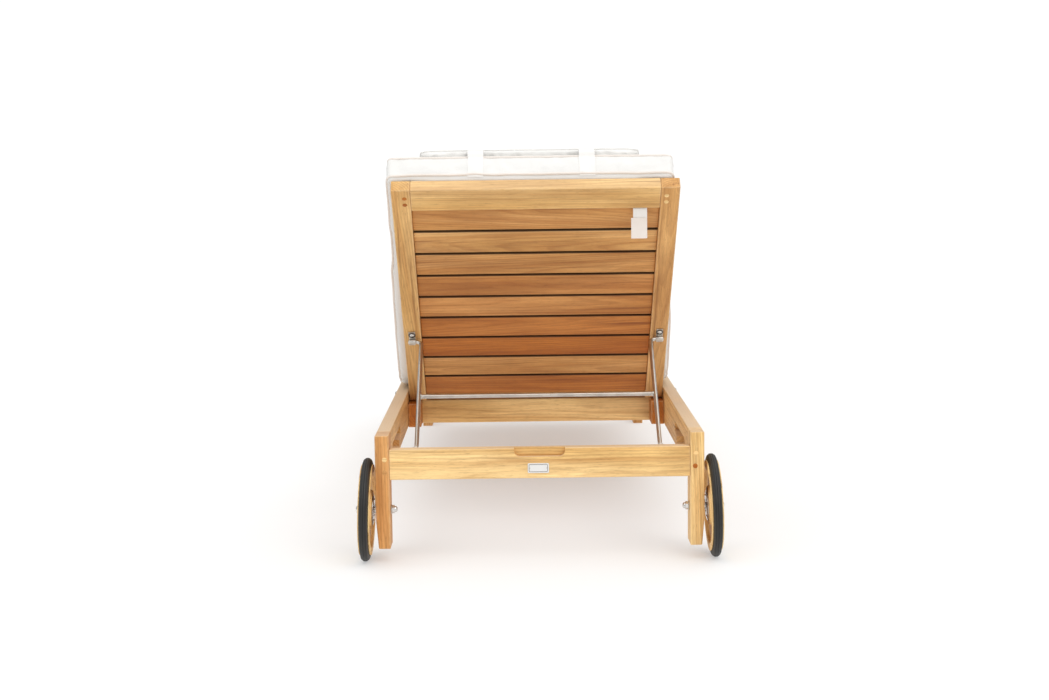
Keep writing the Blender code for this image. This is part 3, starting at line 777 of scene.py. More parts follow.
def make_wheels():
    """Wheels on their tilted axles, each with a ring of flange rivets."""
    for word, side in SIDES:
        spin = joints[f"wheel_{word}_spin"]
        body = f"wheel_{word}"
        centre = np.array(spin["pos_m"])
        axis = np.array(spin["axis"])
        upright = np.cross(axis, (0, 1, 0))
        axes = (upright, np.cross(axis, upright), axis)
        timber = teak(f"teak_wheel_{word}", centre, axes, NO_EDGES, 61.3 + 4.7 * side, 0.0,
                      lean=(0, 0.05, 0.02), heart=(0, 0.03 * side, 0.16))
        disc = turned(f"wheel_disc_turned_{word}", disc_profile(), timber, body, "teak", centre,
                      axis, 160)
        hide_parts(f"wheel_disc_{word}")
        tyre = turned(f"tyre_grooved_{word}", tyre_profile(), RUBBER, body, "tyre", centre, axis, 192)
        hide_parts(f"tyre_{word}")
        hub = turned(f"wheel_hub_turned_{word}", hub_profile(), BRIGHT_STEEL, body, "stainless",
                     centre, axis, 96)
        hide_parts(f"wheel_hub_{word}")
        rivet = [(-0.0004, 0.0), (0, 0.0024), (0.0006, 0.0023), (0.0011, 0.0016), (0.0013, 0.0)]
        for face in (-1, 1):
            which = "inner" if face == -side else "outer"
            for turn in range(RIVETS):
                angle = 2 * pi * turn / RIVETS + 0.3
                arm = cos(angle) * np.array((0, 1.0, 0)) + sin(angle) * upright
                height = DISC_HALF + FLANGE_THICK + 0.0002
                place = centre + axis * face * height + RIVET_CIRCLE * arm
                label = f"flange_rivet_{word}_{which}_{turn + 1}"
                turned(label, rivet, BRIGHT_STEEL, body, "stainless", place, axis * face, 20)


make_wheels()

# --- Axle bolts, nuts and hinge bolts -----------------------------------------------------

HALF_WIDTH = 0.350      # outer face of a side rail
INNER = 0.320           # inner face of a wheel leg
AXLE = joints["wheel_left_spin"]["pos_m"]
BOLT = 0.005
SPACER = 0.0083
PIN = 0.004
PIN_TIP = 0.280


def make_bolts():
    """Axle bolts with a domed head and a spacer, domed nuts inside, hinge bolts outside."""
    for word, side in SIDES:
        out = (side, 0, 0)
        place = (0, AXLE[1], AXLE[2])
        head = WHEEL_X + DISC_HALF + FLANGE_THICK + 0.0016
        spacer = WHEEL_X - DISC_HALF - FLANGE_THICK - 0.0013
        shank = [(INNER - 0.0060, 0.0), (INNER - 0.0060, BOLT - 0.0005), (INNER - 0.0055, BOLT),
                 (HALF_WIDTH + FIT, BOLT), (HALF_WIDTH + FIT, SPACER - 0.0005),
                 (HALF_WIDTH + 0.0008, SPACER), (spacer - 0.0006, SPACER),
                 (spacer, SPACER - 0.0005), (spacer, BOLT), (head, BOLT),
                 (head, 0.0096), (head + 0.0008, 0.0100), (head + 0.0020, 0.0096),
                 (head + 0.0042, 0.0080), (head + 0.0060, 0.0052), (head + 0.0069, 0.0020),
                 (head + 0.0070, 0.0)]
        bolt = turned(f"axle_bolt_turned_{word}", shank, BRIGHT_STEEL, "frame", "stainless", place,
                      out, 48)
        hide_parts(f"axle_bolt_{word}")

        face = INNER - FIT
        nut = [(face, 0.0), (face, 0.0098), (face - 0.0004, 0.0105), (face - 0.0014, 0.0105),
               (face - 0.0018, 0.0100), (face - 0.0018, 0.0074), (face - 0.0024, 0.0080),
               (face - 0.0072, 0.0080), (face - 0.0080, 0.0074), (face - 0.0080, 0.0066),
               (face - 0.0104, 0.0064), (face - 0.0126, 0.0052), (face - 0.0138, 0.0032),
               (face - 0.0142, 0.0)]
        flats = [0, 0, 0, 0, 0, 0.4, 1, 1, 0.4, 0, 0, 0, 0, 0]
        cap = turned(f"domed_nut_{word}", nut, BRIGHT_STEEL, "frame", "stainless", place, out, 72,
                     flats)
        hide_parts(f"dome_nut_{word}")

        under = HALF_WIDTH + FIT
        pin = [(PIN_TIP, 0.0), (PIN_TIP, PIN - 0.0006), (PIN_TIP + 0.0006, PIN), (under, PIN),
               (under, 0.0078),
               (under + 0.0007, 0.0085), (under + 0.0022, 0.0083), (under + 0.0042, 0.0068),
               (under + 0.0050, 0.0046), (under + 0.0050, 0.0030), (under + 0.0026, 0.0028),
               (under + 0.0026, 0.0)]
        socket = [0] * 9 + [1, 1, 0]
        hinge_bolt = turned(f"hinge_bolt_turned_{word}", pin, BRIGHT_STEEL, "frame", "stainless",
                            (0, HINGE[1], HINGE[2]), out, 72, socket)
        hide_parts(f"hinge_bolt_{word}")


make_bolts()

# --- Stay -----------------------------------------------------------------------------------

PIVOT = np.array(joints["stay_swing"]["pos_m"])
PIVOT_REACH = float((PIVOT - HINGE) @ REACH)
PIVOT_LIFT = float((PIVOT - HINGE) @ LIFT)
FOOT = np.array((0, REAR + 0.2585, 0.202))
STAY_X = 0.276
STAY_PIN_X = 0.3078         # where the pin in the bracket ends
STAY_FOOT_X = 0.3328        # where the foot in the rack ends
STAY_BEND = 0.012
CROSS_DOWN = 0.190          # from the pivot down to the cross rod
ROD = 0.005
BRACKET_X = 0.298
BRACKET_HALF = 0.008
BRACKET_THICK = 0.0025


def make_stay():
    """A bent rod each side and a cross rod with a weld collar at each end."""
    down = (FOOT - PIVOT) / np.linalg.norm(FOOT - PIVOT)
    cross = PIVOT + CROSS_DOWN * down
    for word, side in SIDES:
        out = np.array((side, 0, 0.0))
        corners = [PIVOT + out * STAY_PIN_X, PIVOT + out * STAY_X, FOOT + out * STAY_X,
                   FOOT + out * STAY_FOOT_X]
        path = filleted(corners, STAY_BEND, 12, closed=False)
        tips = [path[0], path[0] - out * 0.0012]
        ends = [path[-1] - out * 0.0012, path[-1]]
        path = np.vstack([tips, path[1:-1], ends])
        radius = np.full(len(path), ROD)
        radius[[0, -1]] = ROD - 0.0011
        rod = tube(f"stay_rod_bent_{word}", path, radius, ROD_STEEL, "stay", 24)
        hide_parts(f"stay_rod_{word}")
        near = STAY_X - ROD
        collar = [(near - 0.0042, 0.0), (near - 0.0042, ROD + 0.0001), (near - 0.0024, ROD + 0.0006),
                  (near - 0.0010, ROD + 0.0014), (near + 0.0006, ROD + 0.0012), (near + 0.0006, 0.0)]
        turned(f"weld_{word}", collar, ROD_STEEL, "stay", "stainless", (0, cross[1], cross[2]),
               out, 32)
    end = STAY_X - ROD - FIT
    bar = tube("stay_cross_bar", [(x, cross[1], cross[2]) for x in np.linspace(-end, end, 25)],
               ROD, ROD_STEEL, "stay", 24)
    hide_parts("stay_cross_rod")


def screw_head(name, place, out, radius, body):
    """A low domed head with a small round recess."""
    profile = [(-0.0004, 0.0), (-0.0004, radius), (0.0003, radius), (0.0011, radius * 0.86),
               (0.0019, radius * 0.52), (0.0020, radius * 0.34), (0.0010, radius * 0.26),
               (0.0010, 0.0)]
    turned(name, profile, BRIGHT_STEEL, body, "stainless", place, out, 40)


def make_brackets():
    """A strap of sheet steel each side, curled round the rod's pin and screwed on over a
    washer painted dark as the shadow gap round the screw head."""
    tab = -BOARD_FACE - FIT - BRACKET_THICK / 2
    curl = ROD + FIT + BRACKET_THICK / 2
    angle = np.linspace(radians(62), radians(62 + 300), 33)
    ring = np.stack([PIVOT_REACH + curl * np.cos(angle), PIVOT_LIFT + curl * np.sin(angle)], 1)
    flat = [(PIVOT_REACH + along, tab) for along in (0.029, 0.020, 0.010)]
    line = np.vstack([flat, [(PIVOT_REACH + 0.0062, tab - 0.0004)], ring])
    world = on_back(0.0, line[:, 0], line[:, 1])[:, 1:]
    washer = [(-0.0003, 0.0), (-0.0003, 0.0088), (0.0006, 0.0088), (0.0010, 0.0082), (0.0010, 0.0)]
    for word, side in SIDES:
        middle = side * BRACKET_X
        bracket = flat_strip(f"stay_bracket_curled_{word}", world, middle - BRACKET_HALF,
                             middle + BRACKET_HALF, BRACKET_THICK, ROD_STEEL, "backrest")
        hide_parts(f"stay_bracket_{word}")
        place = on_back(middle, PIVOT_REACH + 0.0185, tab - BRACKET_THICK / 2)
        # Painted shade: the washer is dark to stand for the shadow gap round the screw head
        turned(f"bracket_shade_washer_{word}", washer, DARK_STEEL_AND_SHADE, "backrest", "stainless", place,
               -LIFT, 48)
        screw_head(f"bracket_screw_{word}", place - 0.0009 * LIFT, -LIFT, 0.0050, "backrest")


make_stay()
make_brackets()

# --- Plugs over the joints' screws, and the plate -------------------------------------------

PLUG_RADIUS = 0.0052
PLUG_NO_EDGES = (0.05, 0.05, 0.05)
LEG_PLUGS = (("left_upper", -0.3297, 0.2235, -0.35, 71.1), ("left_lower", -0.3303, 0.1960, 0.55, 72.3),
             ("right_upper", 0.3320, 0.2290, 0.25, 73.9), ("right_lower", 0.3304, 0.2022, 1.25, 74.2))
STILE_PLUG_X = 0.2890
STILE_PLUG_REACHES = (0.738, 0.718)
SIDE_PLUG_HEIGHTS = (0.232, 0.204)
LEG_MIDDLE = 0.0325         # from a leg's outer face to its middle
SEAT_PLUG_X = 0.3085


def plug(name, place, out, tone, seed, body):
    """A turned wooden plug, a hair proud of the board with a soft edge."""
    out = np.asarray(out, float)
    grain = np.array((1.0, 0, 0)) if abs(out[0]) < 0.9 else np.array((0, 1.0, 0))
    axes = (grain, np.cross(out, grain), out)
    timber = teak("teak_" + name, place, axes, PLUG_NO_EDGES, seed, tone)
    profile = [(-0.0010, 0.0), (-0.0010, PLUG_RADIUS), (0.0002, PLUG_RADIUS),
               (0.0005, PLUG_RADIUS - 0.0006), (0.0006, 0.0)]
    turned(name, profile, timber, body, "teak", place, out, 40)


def make_plugs():
    """Plugs on the legs, the backrest's corners, the side rails' ends and the seat slats."""
    for where, x, height, tone, seed in LEG_PLUGS:
        plug(f"leg_plug_{where}", (x, REAR, height), (0, -1, 0), tone, seed, "frame")
    for word, side, tone in (("left", -1, 1.15), ("right", 1, 0.05)):
        for number, reach in enumerate(STILE_PLUG_REACHES):
            seed = 3 * side + number
            under = on_back(side * STILE_PLUG_X, reach, -BOARD_FACE)
            plug(f"stile_plug_{word}_{number + 1}", under, -LIFT, tone, 75.5 + seed, "backrest")
            upper = on_back(side * STILE_PLUG_X, reach, BOARD_FACE)
            plug(f"stile_face_plug_{word}_{number + 1}", upper, LIFT, 0.4, 85.5 + seed, "backrest")
        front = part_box(f"front_leg_{word}")[1].y
        for number, height in enumerate(SIDE_PLUG_HEIGHTS):
            for end, along in (("head", REAR + LEG_MIDDLE), ("foot", front - LEG_MIDDLE)):
                plug(f"side_plug_{end}_{word}_{number + 1}", (side * HALF_WIDTH, along, height),
                     (side, 0, 0), 0.35 + 0.3 * number, 91.1 + 2.3 * number + side, "frame")
            plug(f"foot_plug_{word}_{number + 1}", (side * 0.335, front, height), (0, 1, 0),
                 0.5 - 0.2 * number, 97.3 + 1.9 * number + side, "frame")
    for number in range(len(SEAT_SLAT_TONES)):
        low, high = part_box(f"seat_slat_{number + 1:02d}")
        for word, side in SIDES:
            place = (side * SEAT_PLUG_X, (low.y + high.y) / 2, high.z)
            plug(f"seat_plug_{word}_{number + 1:02d}", place, (0, 0, 1), 0.45 + 0.2 * (number % 3),
                 101.3 + 1.7 * number + side, "frame")


PLATE_CORNER = 0.0026
BORDER_INSET = 0.0028
BORDER_RADIUS = 0.00045


def make_plate():
    """A blank enamelled plate: rounded-rectangle rings stepping in over a raised edge, with a
    dark border line and a pin at each end."""
    low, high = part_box("maker_plate")
    middle_x, middle_z = (low.x + high.x) / 2, (low.z + high.z) / 2
    half_x, half_z = (high.x - low.x) / 2, (high.z - low.z) / 2
    back, front = high.y, low.y
    steps = ((0.0006, back), (0.0, back - 0.0003), (0.0, front + 0.0004), (0.0003, front + 0.0001),
             (0.0010, front), (0.0016, front + 0.0003), (0.0030, front + 0.0003))
    rings = []
    for inset, y in steps:
        a, b = half_x - inset, half_z - inset
        outline = filleted([(-a, -b), (a, -b), (a, b), (-a, b)], PLATE_CORNER - 0.4 * inset, 6)
        rings.append(np.stack([middle_x + outline[:, 0], np.full(len(outline), y),
                               middle_z + outline[:, 1]], 1))
    points = np.array(rings)
    plate = piece_from("name_plate_blank", points.reshape(-1, 3),
                       grid_faces(len(rings), points.shape[1]), ENAMEL, "frame", 50)
    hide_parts("maker_plate")
    outline = filleted([(-half_x, -half_z), (half_x, -half_z), (half_x, half_z), (-half_x, half_z)],
                       PLATE_CORNER, 6) * (1 - BORDER_INSET / half_x, 1 - BORDER_INSET / half_z)
    path = np.stack([middle_x + outline[:, 0], np.full(len(outline), front + 0.0003),
                     middle_z + outline[:, 1]], 1)
    tube("plate_border", path, BORDER_RADIUS, DARK_STEEL_AND_SHADE, "frame", 8, closed=True)
    pin = [(-0.0010, 0.0), (-0.0010, 0.0011), (0.0002, 0.0011), (0.0005, 0.0007), (0.0006, 0.0)]
    for word, side in SIDES:
        turned(f"plate_pin_{word}", pin, ROD_STEEL, "frame", "stainless",
               (middle_x + side * (half_x - 0.0045), front + 0.0003, middle_z), (0, -1, 0), 20)


make_plugs()
make_plate()

# --- Cushion ----------------------------------------------------------------------------------

SEAT_TOP = 0.2753        # where the cushion rests on the seat's slats
CUSHION_THICK = 0.071
INSET = 0.0015          # the drawn shape's margin for the fabric's swelling
SWELL = 0.011           # the most that a point of the cushion may move
FOLD_RADIUS = 0.28
PATH_POINTS = 420
OUTLINE_POINTS = 260
FOOT_END = REAR + 1.990
HEAD_REACH = 0.772
SEAT_EDGES = (-0.347, 0.337)
BACK_EDGES = (-0.331, 0.309)
VOXEL = 0.012
KNEE_SEAM = 0.62        # from the foot end, along the cushion
FOLD_SEAM = FOOT_END - HINGE[1] - 0.012


def cushion_path():
    """The cushion's resting line in (y, z): along the seat, round the fold, up the back.
    The fold is an arc, so the cushion bridges the corner."""
    height = (SEAT_TOP - HINGE[2] - (BOARD_FACE + FIT) * cos(RECLINE)) / sin(RECLINE)
    corner = on_back(0.0, height, BOARD_FACE + FIT)[1:]
    head = on_back(0.0, HEAD_REACH, BOARD_FACE + FIT)[1:]
    line = filleted([(FOOT_END, SEAT_TOP), corner, head], FOLD_RADIUS, 24, closed=False)
    return even(line, PATH_POINTS)


PATH = cushion_path()
PATH_ALONG = np.concatenate([[0], np.cumsum(np.linalg.norm(np.diff(PATH, axis=0), axis=1))])
PATH_RUN = np.gradient(PATH, axis=0)
PATH_RUN = PATH_RUN / np.linalg.norm(PATH_RUN, axis=1)[:, None]
PATH_OUT = np.stack([PATH_RUN[:, 1], -PATH_RUN[:, 0]], 1)
CUSHION_LENGTH = PATH_ALONG[-1]


def on_cushion(x, along, height):
    """World points from the cushion's flat point: across, along its length, above its base."""
    x, along, height = np.broadcast_arrays(*(np.asarray(v, float) for v in (x, along, height)))
    inside = np.clip(along, 0, CUSHION_LENGTH)
    over = along - inside
    line = [np.interp(inside, PATH_ALONG, PATH[:, i]) for i in (0, 1)]
    run = [np.interp(inside, PATH_ALONG, PATH_RUN[:, i]) for i in (0, 1)]
    out = [np.interp(inside, PATH_ALONG, PATH_OUT[:, i]) for i in (0, 1)]
    y, z = (line[i] + over * run[i] + height * out[i] for i in (0, 1))
    return np.stack([x, y, z], -1)


BATCH = 20000           # points worked out at a time


def flat_point(points):
    """The cushion's flat point of world points: the nearest place on its resting line."""
    place = points[:, 1:]
    nearest = np.zeros(len(points), int)
    for start in range(0, len(points), BATCH):
        part = place[start:start + BATCH]
        gap = ((part[:, None] - PATH[None]) ** 2).sum(-1)
        nearest[start:start + BATCH] = gap.argmin(1)
    offset = place - PATH[nearest]
    along = PATH_ALONG[nearest] + (offset * PATH_RUN[nearest]).sum(1)
    height = (offset * PATH_OUT[nearest]).sum(1)
    return np.stack([points[:, 0], along, height], 1)


def edge_x(along):
    """The cushion's left and right edges, a little narrower up the backrest."""
    share = np.clip((np.asarray(along) - FOLD_SEAM) / (CUSHION_LENGTH - FOLD_SEAM), 0, 1)
    return (SEAT_EDGES[0] + share * (BACK_EDGES[0] - SEAT_EDGES[0]),
            SEAT_EDGES[1] + share * (BACK_EDGES[1] - SEAT_EDGES[1]))


def coordinates(mesh):
    """The mesh's points as an array."""
    co = np.empty(len(mesh.vertices) * 3, np.float32)
    mesh.vertices.foreach_get("co", co)
    return co.reshape(-1, 3).astype(float)


def set_coordinates(mesh, co):
    """Move the mesh's points to those of an array."""
    mesh.vertices.foreach_set("co", np.asarray(co, np.float32).ravel())
    mesh.update()


def apply_modifiers(piece):
    """Keep the shape that the modifiers make, and drop them."""
    shown = piece.evaluated_get(bpy.context.evaluated_depsgraph_get())
    mesh = bpy.data.meshes.new_from_object(shown)
    piece.modifiers.clear()
    piece.data = mesh


def remeshed(piece, voxel):
    """Even small quads over a closed shape."""
    step = piece.modifiers.new("voxels", "REMESH")
    step.mode = "VOXEL"
    step.voxel_size = voxel
    apply_modifiers(piece)


FRAMES = 20             # how long the fabric is blown up


def inflate(piece, held, cap, pressure=4.0, slack=0.03):
    """Blow up the fabric by cloth simulation. held is how firmly each point is kept in
    place, as a seam keeps it, and no point moves further than cap."""
    start = coordinates(piece.data)
    seams = piece.vertex_groups.new(name="seams")
    for level in np.unique(np.round(held, 1)):
        chosen = np.flatnonzero(np.round(held, 1) == level)
        if level > 0:
            seams.add(chosen.tolist(), float(level), "REPLACE")
    cloth = piece.modifiers.new("fabric", "CLOTH")
    settings = cloth.settings
    settings.quality = 5
    settings.use_pressure = True
    settings.uniform_pressure_force = pressure
    settings.vertex_group_mass = "seams"
    settings.pin_stiffness = 2.0
    settings.tension_stiffness = 12
    settings.compression_stiffness = 12
    settings.bending_stiffness = 0.4
    settings.shrink_min = -slack
    settings.effector_weights.gravity = 0
    cloth.collision_settings.use_collision = False
    cloth.point_cache.frame_start = 1
    cloth.point_cache.frame_end = FRAMES
    for number in range(1, FRAMES + 1):
        bpy.context.scene.frame_set(number)
    shown = piece.evaluated_get(bpy.context.evaluated_depsgraph_get())
    moved = coordinates(shown.to_mesh())
    shown.to_mesh_clear()
    piece.modifiers.clear()
    piece.vertex_groups.clear()
    bpy.context.scene.frame_set(1)
    step = moved - start
    length = np.linalg.norm(step, axis=1)
    step *= (np.minimum(length, cap) / np.maximum(length, 1e-9))[:, None]
    set_coordinates(piece.data, start + step)
    finer = piece.modifiers.new("finer", "SUBSURF")
    finer.levels = 1
    finer.render_levels = 1
    apply_modifiers(piece)


def cushion_shape():
    """The drawn cushion: its outline in (y, z), base and top, pushed across from edge to
    edge, and a little smaller than the finished one."""
    along = np.linspace(INSET, CUSHION_LENGTH - INSET, OUTLINE_POINTS)
    base = np.stack([along, np.full(OUTLINE_POINTS, 0.0010)], 1)
    top = np.stack([along[::-1], np.full(OUTLINE_POINTS, CUSHION_THICK - INSET)], 1)
    outline = np.vstack([base, top])
    left, right = edge_x(outline[:, 0])
    rows = [on_cushion(left + INSET, outline[:, 0], outline[:, 1]),
            on_cushion(right - INSET, outline[:, 0], outline[:, 1])]
    points = np.array(rows).reshape(-1, 3)
    return piece_from("full_length_cushion", points, grid_faces(2, 2 * OUTLINE_POINTS), CANVAS)


def smooth_step(value, low, high):
    """0 below low, 1 above high, and share^2 (3 - 2 share) between them."""
    share = np.clip((value - low) / (high - low), 0, 1)
    return share * share * (3 - 2 * share)


PILLOW_X = (-0.263, 0.239)
PILLOW_REACH = (0.574, 0.767)
PILLOW_SEAM = 0.0215        # height of the pillow's seam above the cushion
PILLOW_HALF = 0.0195        # half of its drawn thickness
PILLOW_TOP = 0.049          # the highest that it may swell
PILLOW_INSET = 0.006
PILLOW_POWER = 0.42
PILLOW_VOXEL = 0.006
PILLOW_SWELL = 0.012
PILLOW_PIPING_RADIUS = 0.0016
PILLOW_PIPING_OUT = 0.02    # its line is drawn this far outside, then moved to the fabric
PILLOW_FLOOR = BOARD_FACE + FIT + CUSHION_THICK + FIT
HEAD_OFFSET = CUSHION_LENGTH - HEAD_REACH
STRAP_X = (-0.132, 0.115)
STRAP_WIDTH = 0.035
SEAM_DEPTH = 0.0085
CREASE_DEPTH = 0.0035
TUCK_DEPTH = 0.0050
SEAM_HOLD = 0.9             # how firmly a seam keeps its points while the fabric is blown up
UPPER_SIDE = 0.045          # points higher than this belong to the cushion's upper side


def cushion_details(co):
    """The cushion's points with its details, and their flat points. Where it rests it is
    flat; seams dip by a bell curve, the pillow presses a shallow bed, and the boxing has
    sine creases that fade away from the fold."""
    x, along, height = flat_point(co).T
    height = np.maximum(height, 0.0002)
    on_top = smooth_step(height, 0.040, 0.054)
    for seam in (FOLD_SEAM, KNEE_SEAM):
        dip = np.exp(-((along - seam) / 0.0085) ** 2)
        height = height - on_top * SEAM_DEPTH * dip
    left, right = edge_x(along)
    boxing = 1 - smooth_step(np.minimum(x - left, right - x), 0.004, 0.022)
    near_fold = np.exp(-((along - FOLD_SEAM) / 0.085) ** 2)
    crease = np.sin(along * 118 + 2.2 * np.sin(x * 9)) * near_fold
    mid_height = np.exp(-((height - 0.030) / 0.020) ** 2)
    x = x + np.sign(x) * boxing * mid_height * CREASE_DEPTH * crease
    below_fold = np.exp(-((along - FOLD_SEAM + 0.05) / 0.12) ** 2)
    tuck = np.exp(-((height - 0.026) / 0.006) ** 2) * below_fold
    x = x - np.sign(x) * boxing * TUCK_DEPTH * tuck
    bed = smooth_step(x, PILLOW_X[0] - 0.02, PILLOW_X[0] + 0.012)
    bed = bed * (1 - smooth_step(x, PILLOW_X[1] - 0.012, PILLOW_X[1] + 0.02))
    reach = along - HEAD_OFFSET
    bed = bed * smooth_step(reach, PILLOW_REACH[0] - 0.02, PILLOW_REACH[0] + 0.012)
    pressed = np.minimum(height, CUSHION_THICK - 0.0010)
    height = np.where(height > UPPER_SIDE, height + bed * (pressed - height), height)
    return on_cushion(x, along, height), np.stack([x, along, height], 1)


def keep_flat_point(mesh, flat):
    """Store the cloth's own flat point, which the weave follows."""
    layer = mesh.attributes.new("cloth_point", "FLOAT_VECTOR", "POINT")
    layer.data.foreach_set("vector", np.asarray(flat, np.float32).ravel())


def surface_of(piece):
    """A search tree over a finished mesh."""
    mesh = piece.data
    return BVHTree.FromPolygons([vert.co for vert in mesh.vertices],
                                [list(face.vertices) for face in mesh.polygons])


PAINTED_SHADE_UNDERSIDE_HALF = 0.306      # the underside painted dark as shade stays hidden behind the boards


def make_cushion():
    """The cushion over seat and backrest, drawn, remeshed, inflated and detailed."""
    cushion = cushion_shape()
    remeshed(cushion, VOXEL)
    co = coordinates(cushion.data)
    flat = flat_point(co)
    left, right = edge_x(flat[:, 1])
    to_side = np.minimum(flat[:, 0] - left, right - flat[:, 0])
    to_end = np.minimum(flat[:, 1], CUSHION_LENGTH - flat[:, 1])
    to_face = np.minimum(flat[:, 2], CUSHION_THICK - flat[:, 2])
    middle = np.sort(np.stack([to_side, to_end, to_face], 1), axis=1)[:, 1]
    held = SEAM_HOLD * (1 - smooth_step(middle, 0.008, 0.022))
    upper = flat[:, 2] > UPPER_SIDE
    for seam in (FOLD_SEAM, KNEE_SEAM):
        held = np.maximum(held, upper * SEAM_HOLD * (np.abs(flat[:, 1] - seam) < 0.008))
    inflate(cushion, held, SWELL)
    co, flat = cushion_details(coordinates(cushion.data))
    set_coordinates(cushion.data, co)
    keep_flat_point(cushion.data, flat)
    cushion.data.shade_smooth()
    cushion.data.materials.clear()
    cushion.data.materials.append(CANVAS)
    cushion.data.materials.append(PAINTED_SHADE_UNDERSIDE)
    # Faces resting on the boards take the underside painted dark as the shade seen through the slat
    # gaps
    resting = (flat[:, 2] < 0.0009) & (np.abs(flat[:, 0]) < PAINTED_SHADE_UNDERSIDE_HALF)
    resting &= flat[:, 1] < CUSHION_LENGTH - 0.020
    corners = np.array([list(face.vertices)[:4] for face in cushion.data.polygons])
    cushion.data.polygons.foreach_set("material_index", resting[corners].all(1).astype(np.int32))
    return cushion


def snapped(tree, points, stand_off):
    """Points moved onto a surface and then out along its normal."""
    found = [tree.find_nearest(Vector(point)) for point in points]
    return np.array([np.array(place + normal * stand_off) for place, normal, _, _ in found])


def round_path(path, passes):
    """A closed line with each point moved half-way to the middle of its neighbours."""
    for _ in range(passes):
        path = path * 0.5 + (np.roll(path, 1, 0) + np.roll(path, -1, 0)) * 0.25
    return path


PIPING_RADIUS = 0.0028
PIPING_OUT = 0.006          # the seam line starts this far outside the drawn edge
END_POINTS = 88
STRAP_RISE = 0.0035         # how far the straps draw the head end's piping up


def piping(name, tree, height):
    """A welt round the cushion: the drawn seam line moved to the fabric's corner. It waves a
    little by two sines and rises by a bell curve at each strap."""
    along = np.linspace(0, CUSHION_LENGTH, OUTLINE_POINTS)
    left, right = edge_x(along)
    across = np.linspace(0, 1, END_POINTS + 2)[1:-1]
    foot_x = edge_x(0.0)
    head_x = edge_x(CUSHION_LENGTH)
    head = head_x[0] + across * (head_x[1] - head_x[0])
    foot = foot_x[1] - across * (foot_x[1] - foot_x[0])
    line = np.vstack([
        np.stack([left, along], 1), np.stack([head, np.full(END_POINTS, CUSHION_LENGTH)], 1),
        np.stack([right, along], 1)[::-1], np.stack([foot, np.zeros(END_POINTS)], 1)])
    x, along = even(line, 760, closed=True).T
    rise = STRAP_RISE * sum(np.exp(-((x - strap) / 0.030) ** 2) for strap in STRAP_X)
    rise = rise * smooth_step(along, CUSHION_LENGTH - 0.02, CUSHION_LENGTH)
    wave = 0.0009 * np.sin(x * 61 + along * 43) + 0.0006 * np.sin(along * 97)
    at_head, at_foot = along > CUSHION_LENGTH - 0.001, along < 0.001
    beyond = np.where(at_head, PIPING_OUT, np.where(at_foot, -PIPING_OUT, 0))
    places = on_cushion(x + np.sign(x) * PIPING_OUT, along + beyond, height + rise + wave)
    places = round_path(places, 3)
    path = round_path(snapped(tree, places, PIPING_RADIUS * 0.35), 4)
    # The piping's sand-brown tint is painted shade along the seam
    piece = tube(name, path, PIPING_RADIUS, PIPING_CLOTH_SHADE_TINTED, None, 10, closed=True)
    keep_flat_point(piece.data, flat_point(coordinates(piece.data)))
    return piece


def sheet_between(name, points, thickness, finish):
    """A thin sheet over a grid of points: two layers along its normals and a rim."""
    rows, columns = points.shape[:2]
    normal = np.cross(np.gradient(points, axis=0), np.gradient(points, axis=1))
    normal /= np.linalg.norm(normal, axis=2)[..., None]
    both = np.stack([points + normal * thickness / 2, points - normal * thickness / 2])
    upper = grid_faces(rows, columns, loop_columns=False, caps=False)
    index = np.arange(rows * columns).reshape(rows, columns)
    rim = np.concatenate([index[0], index[1:, -1], index[-1, -2::-1], index[-2:0:-1, 0]])
    after = np.roll(rim, -1)
    shift = rows * columns
    faces = upper + [[v + shift for v in face] for face in upper]
    faces += np.stack([rim, after, after + shift, rim + shift], 1).tolist()
    return piece_from(name, both.reshape(-1, 3), faces, finish, None, 60)


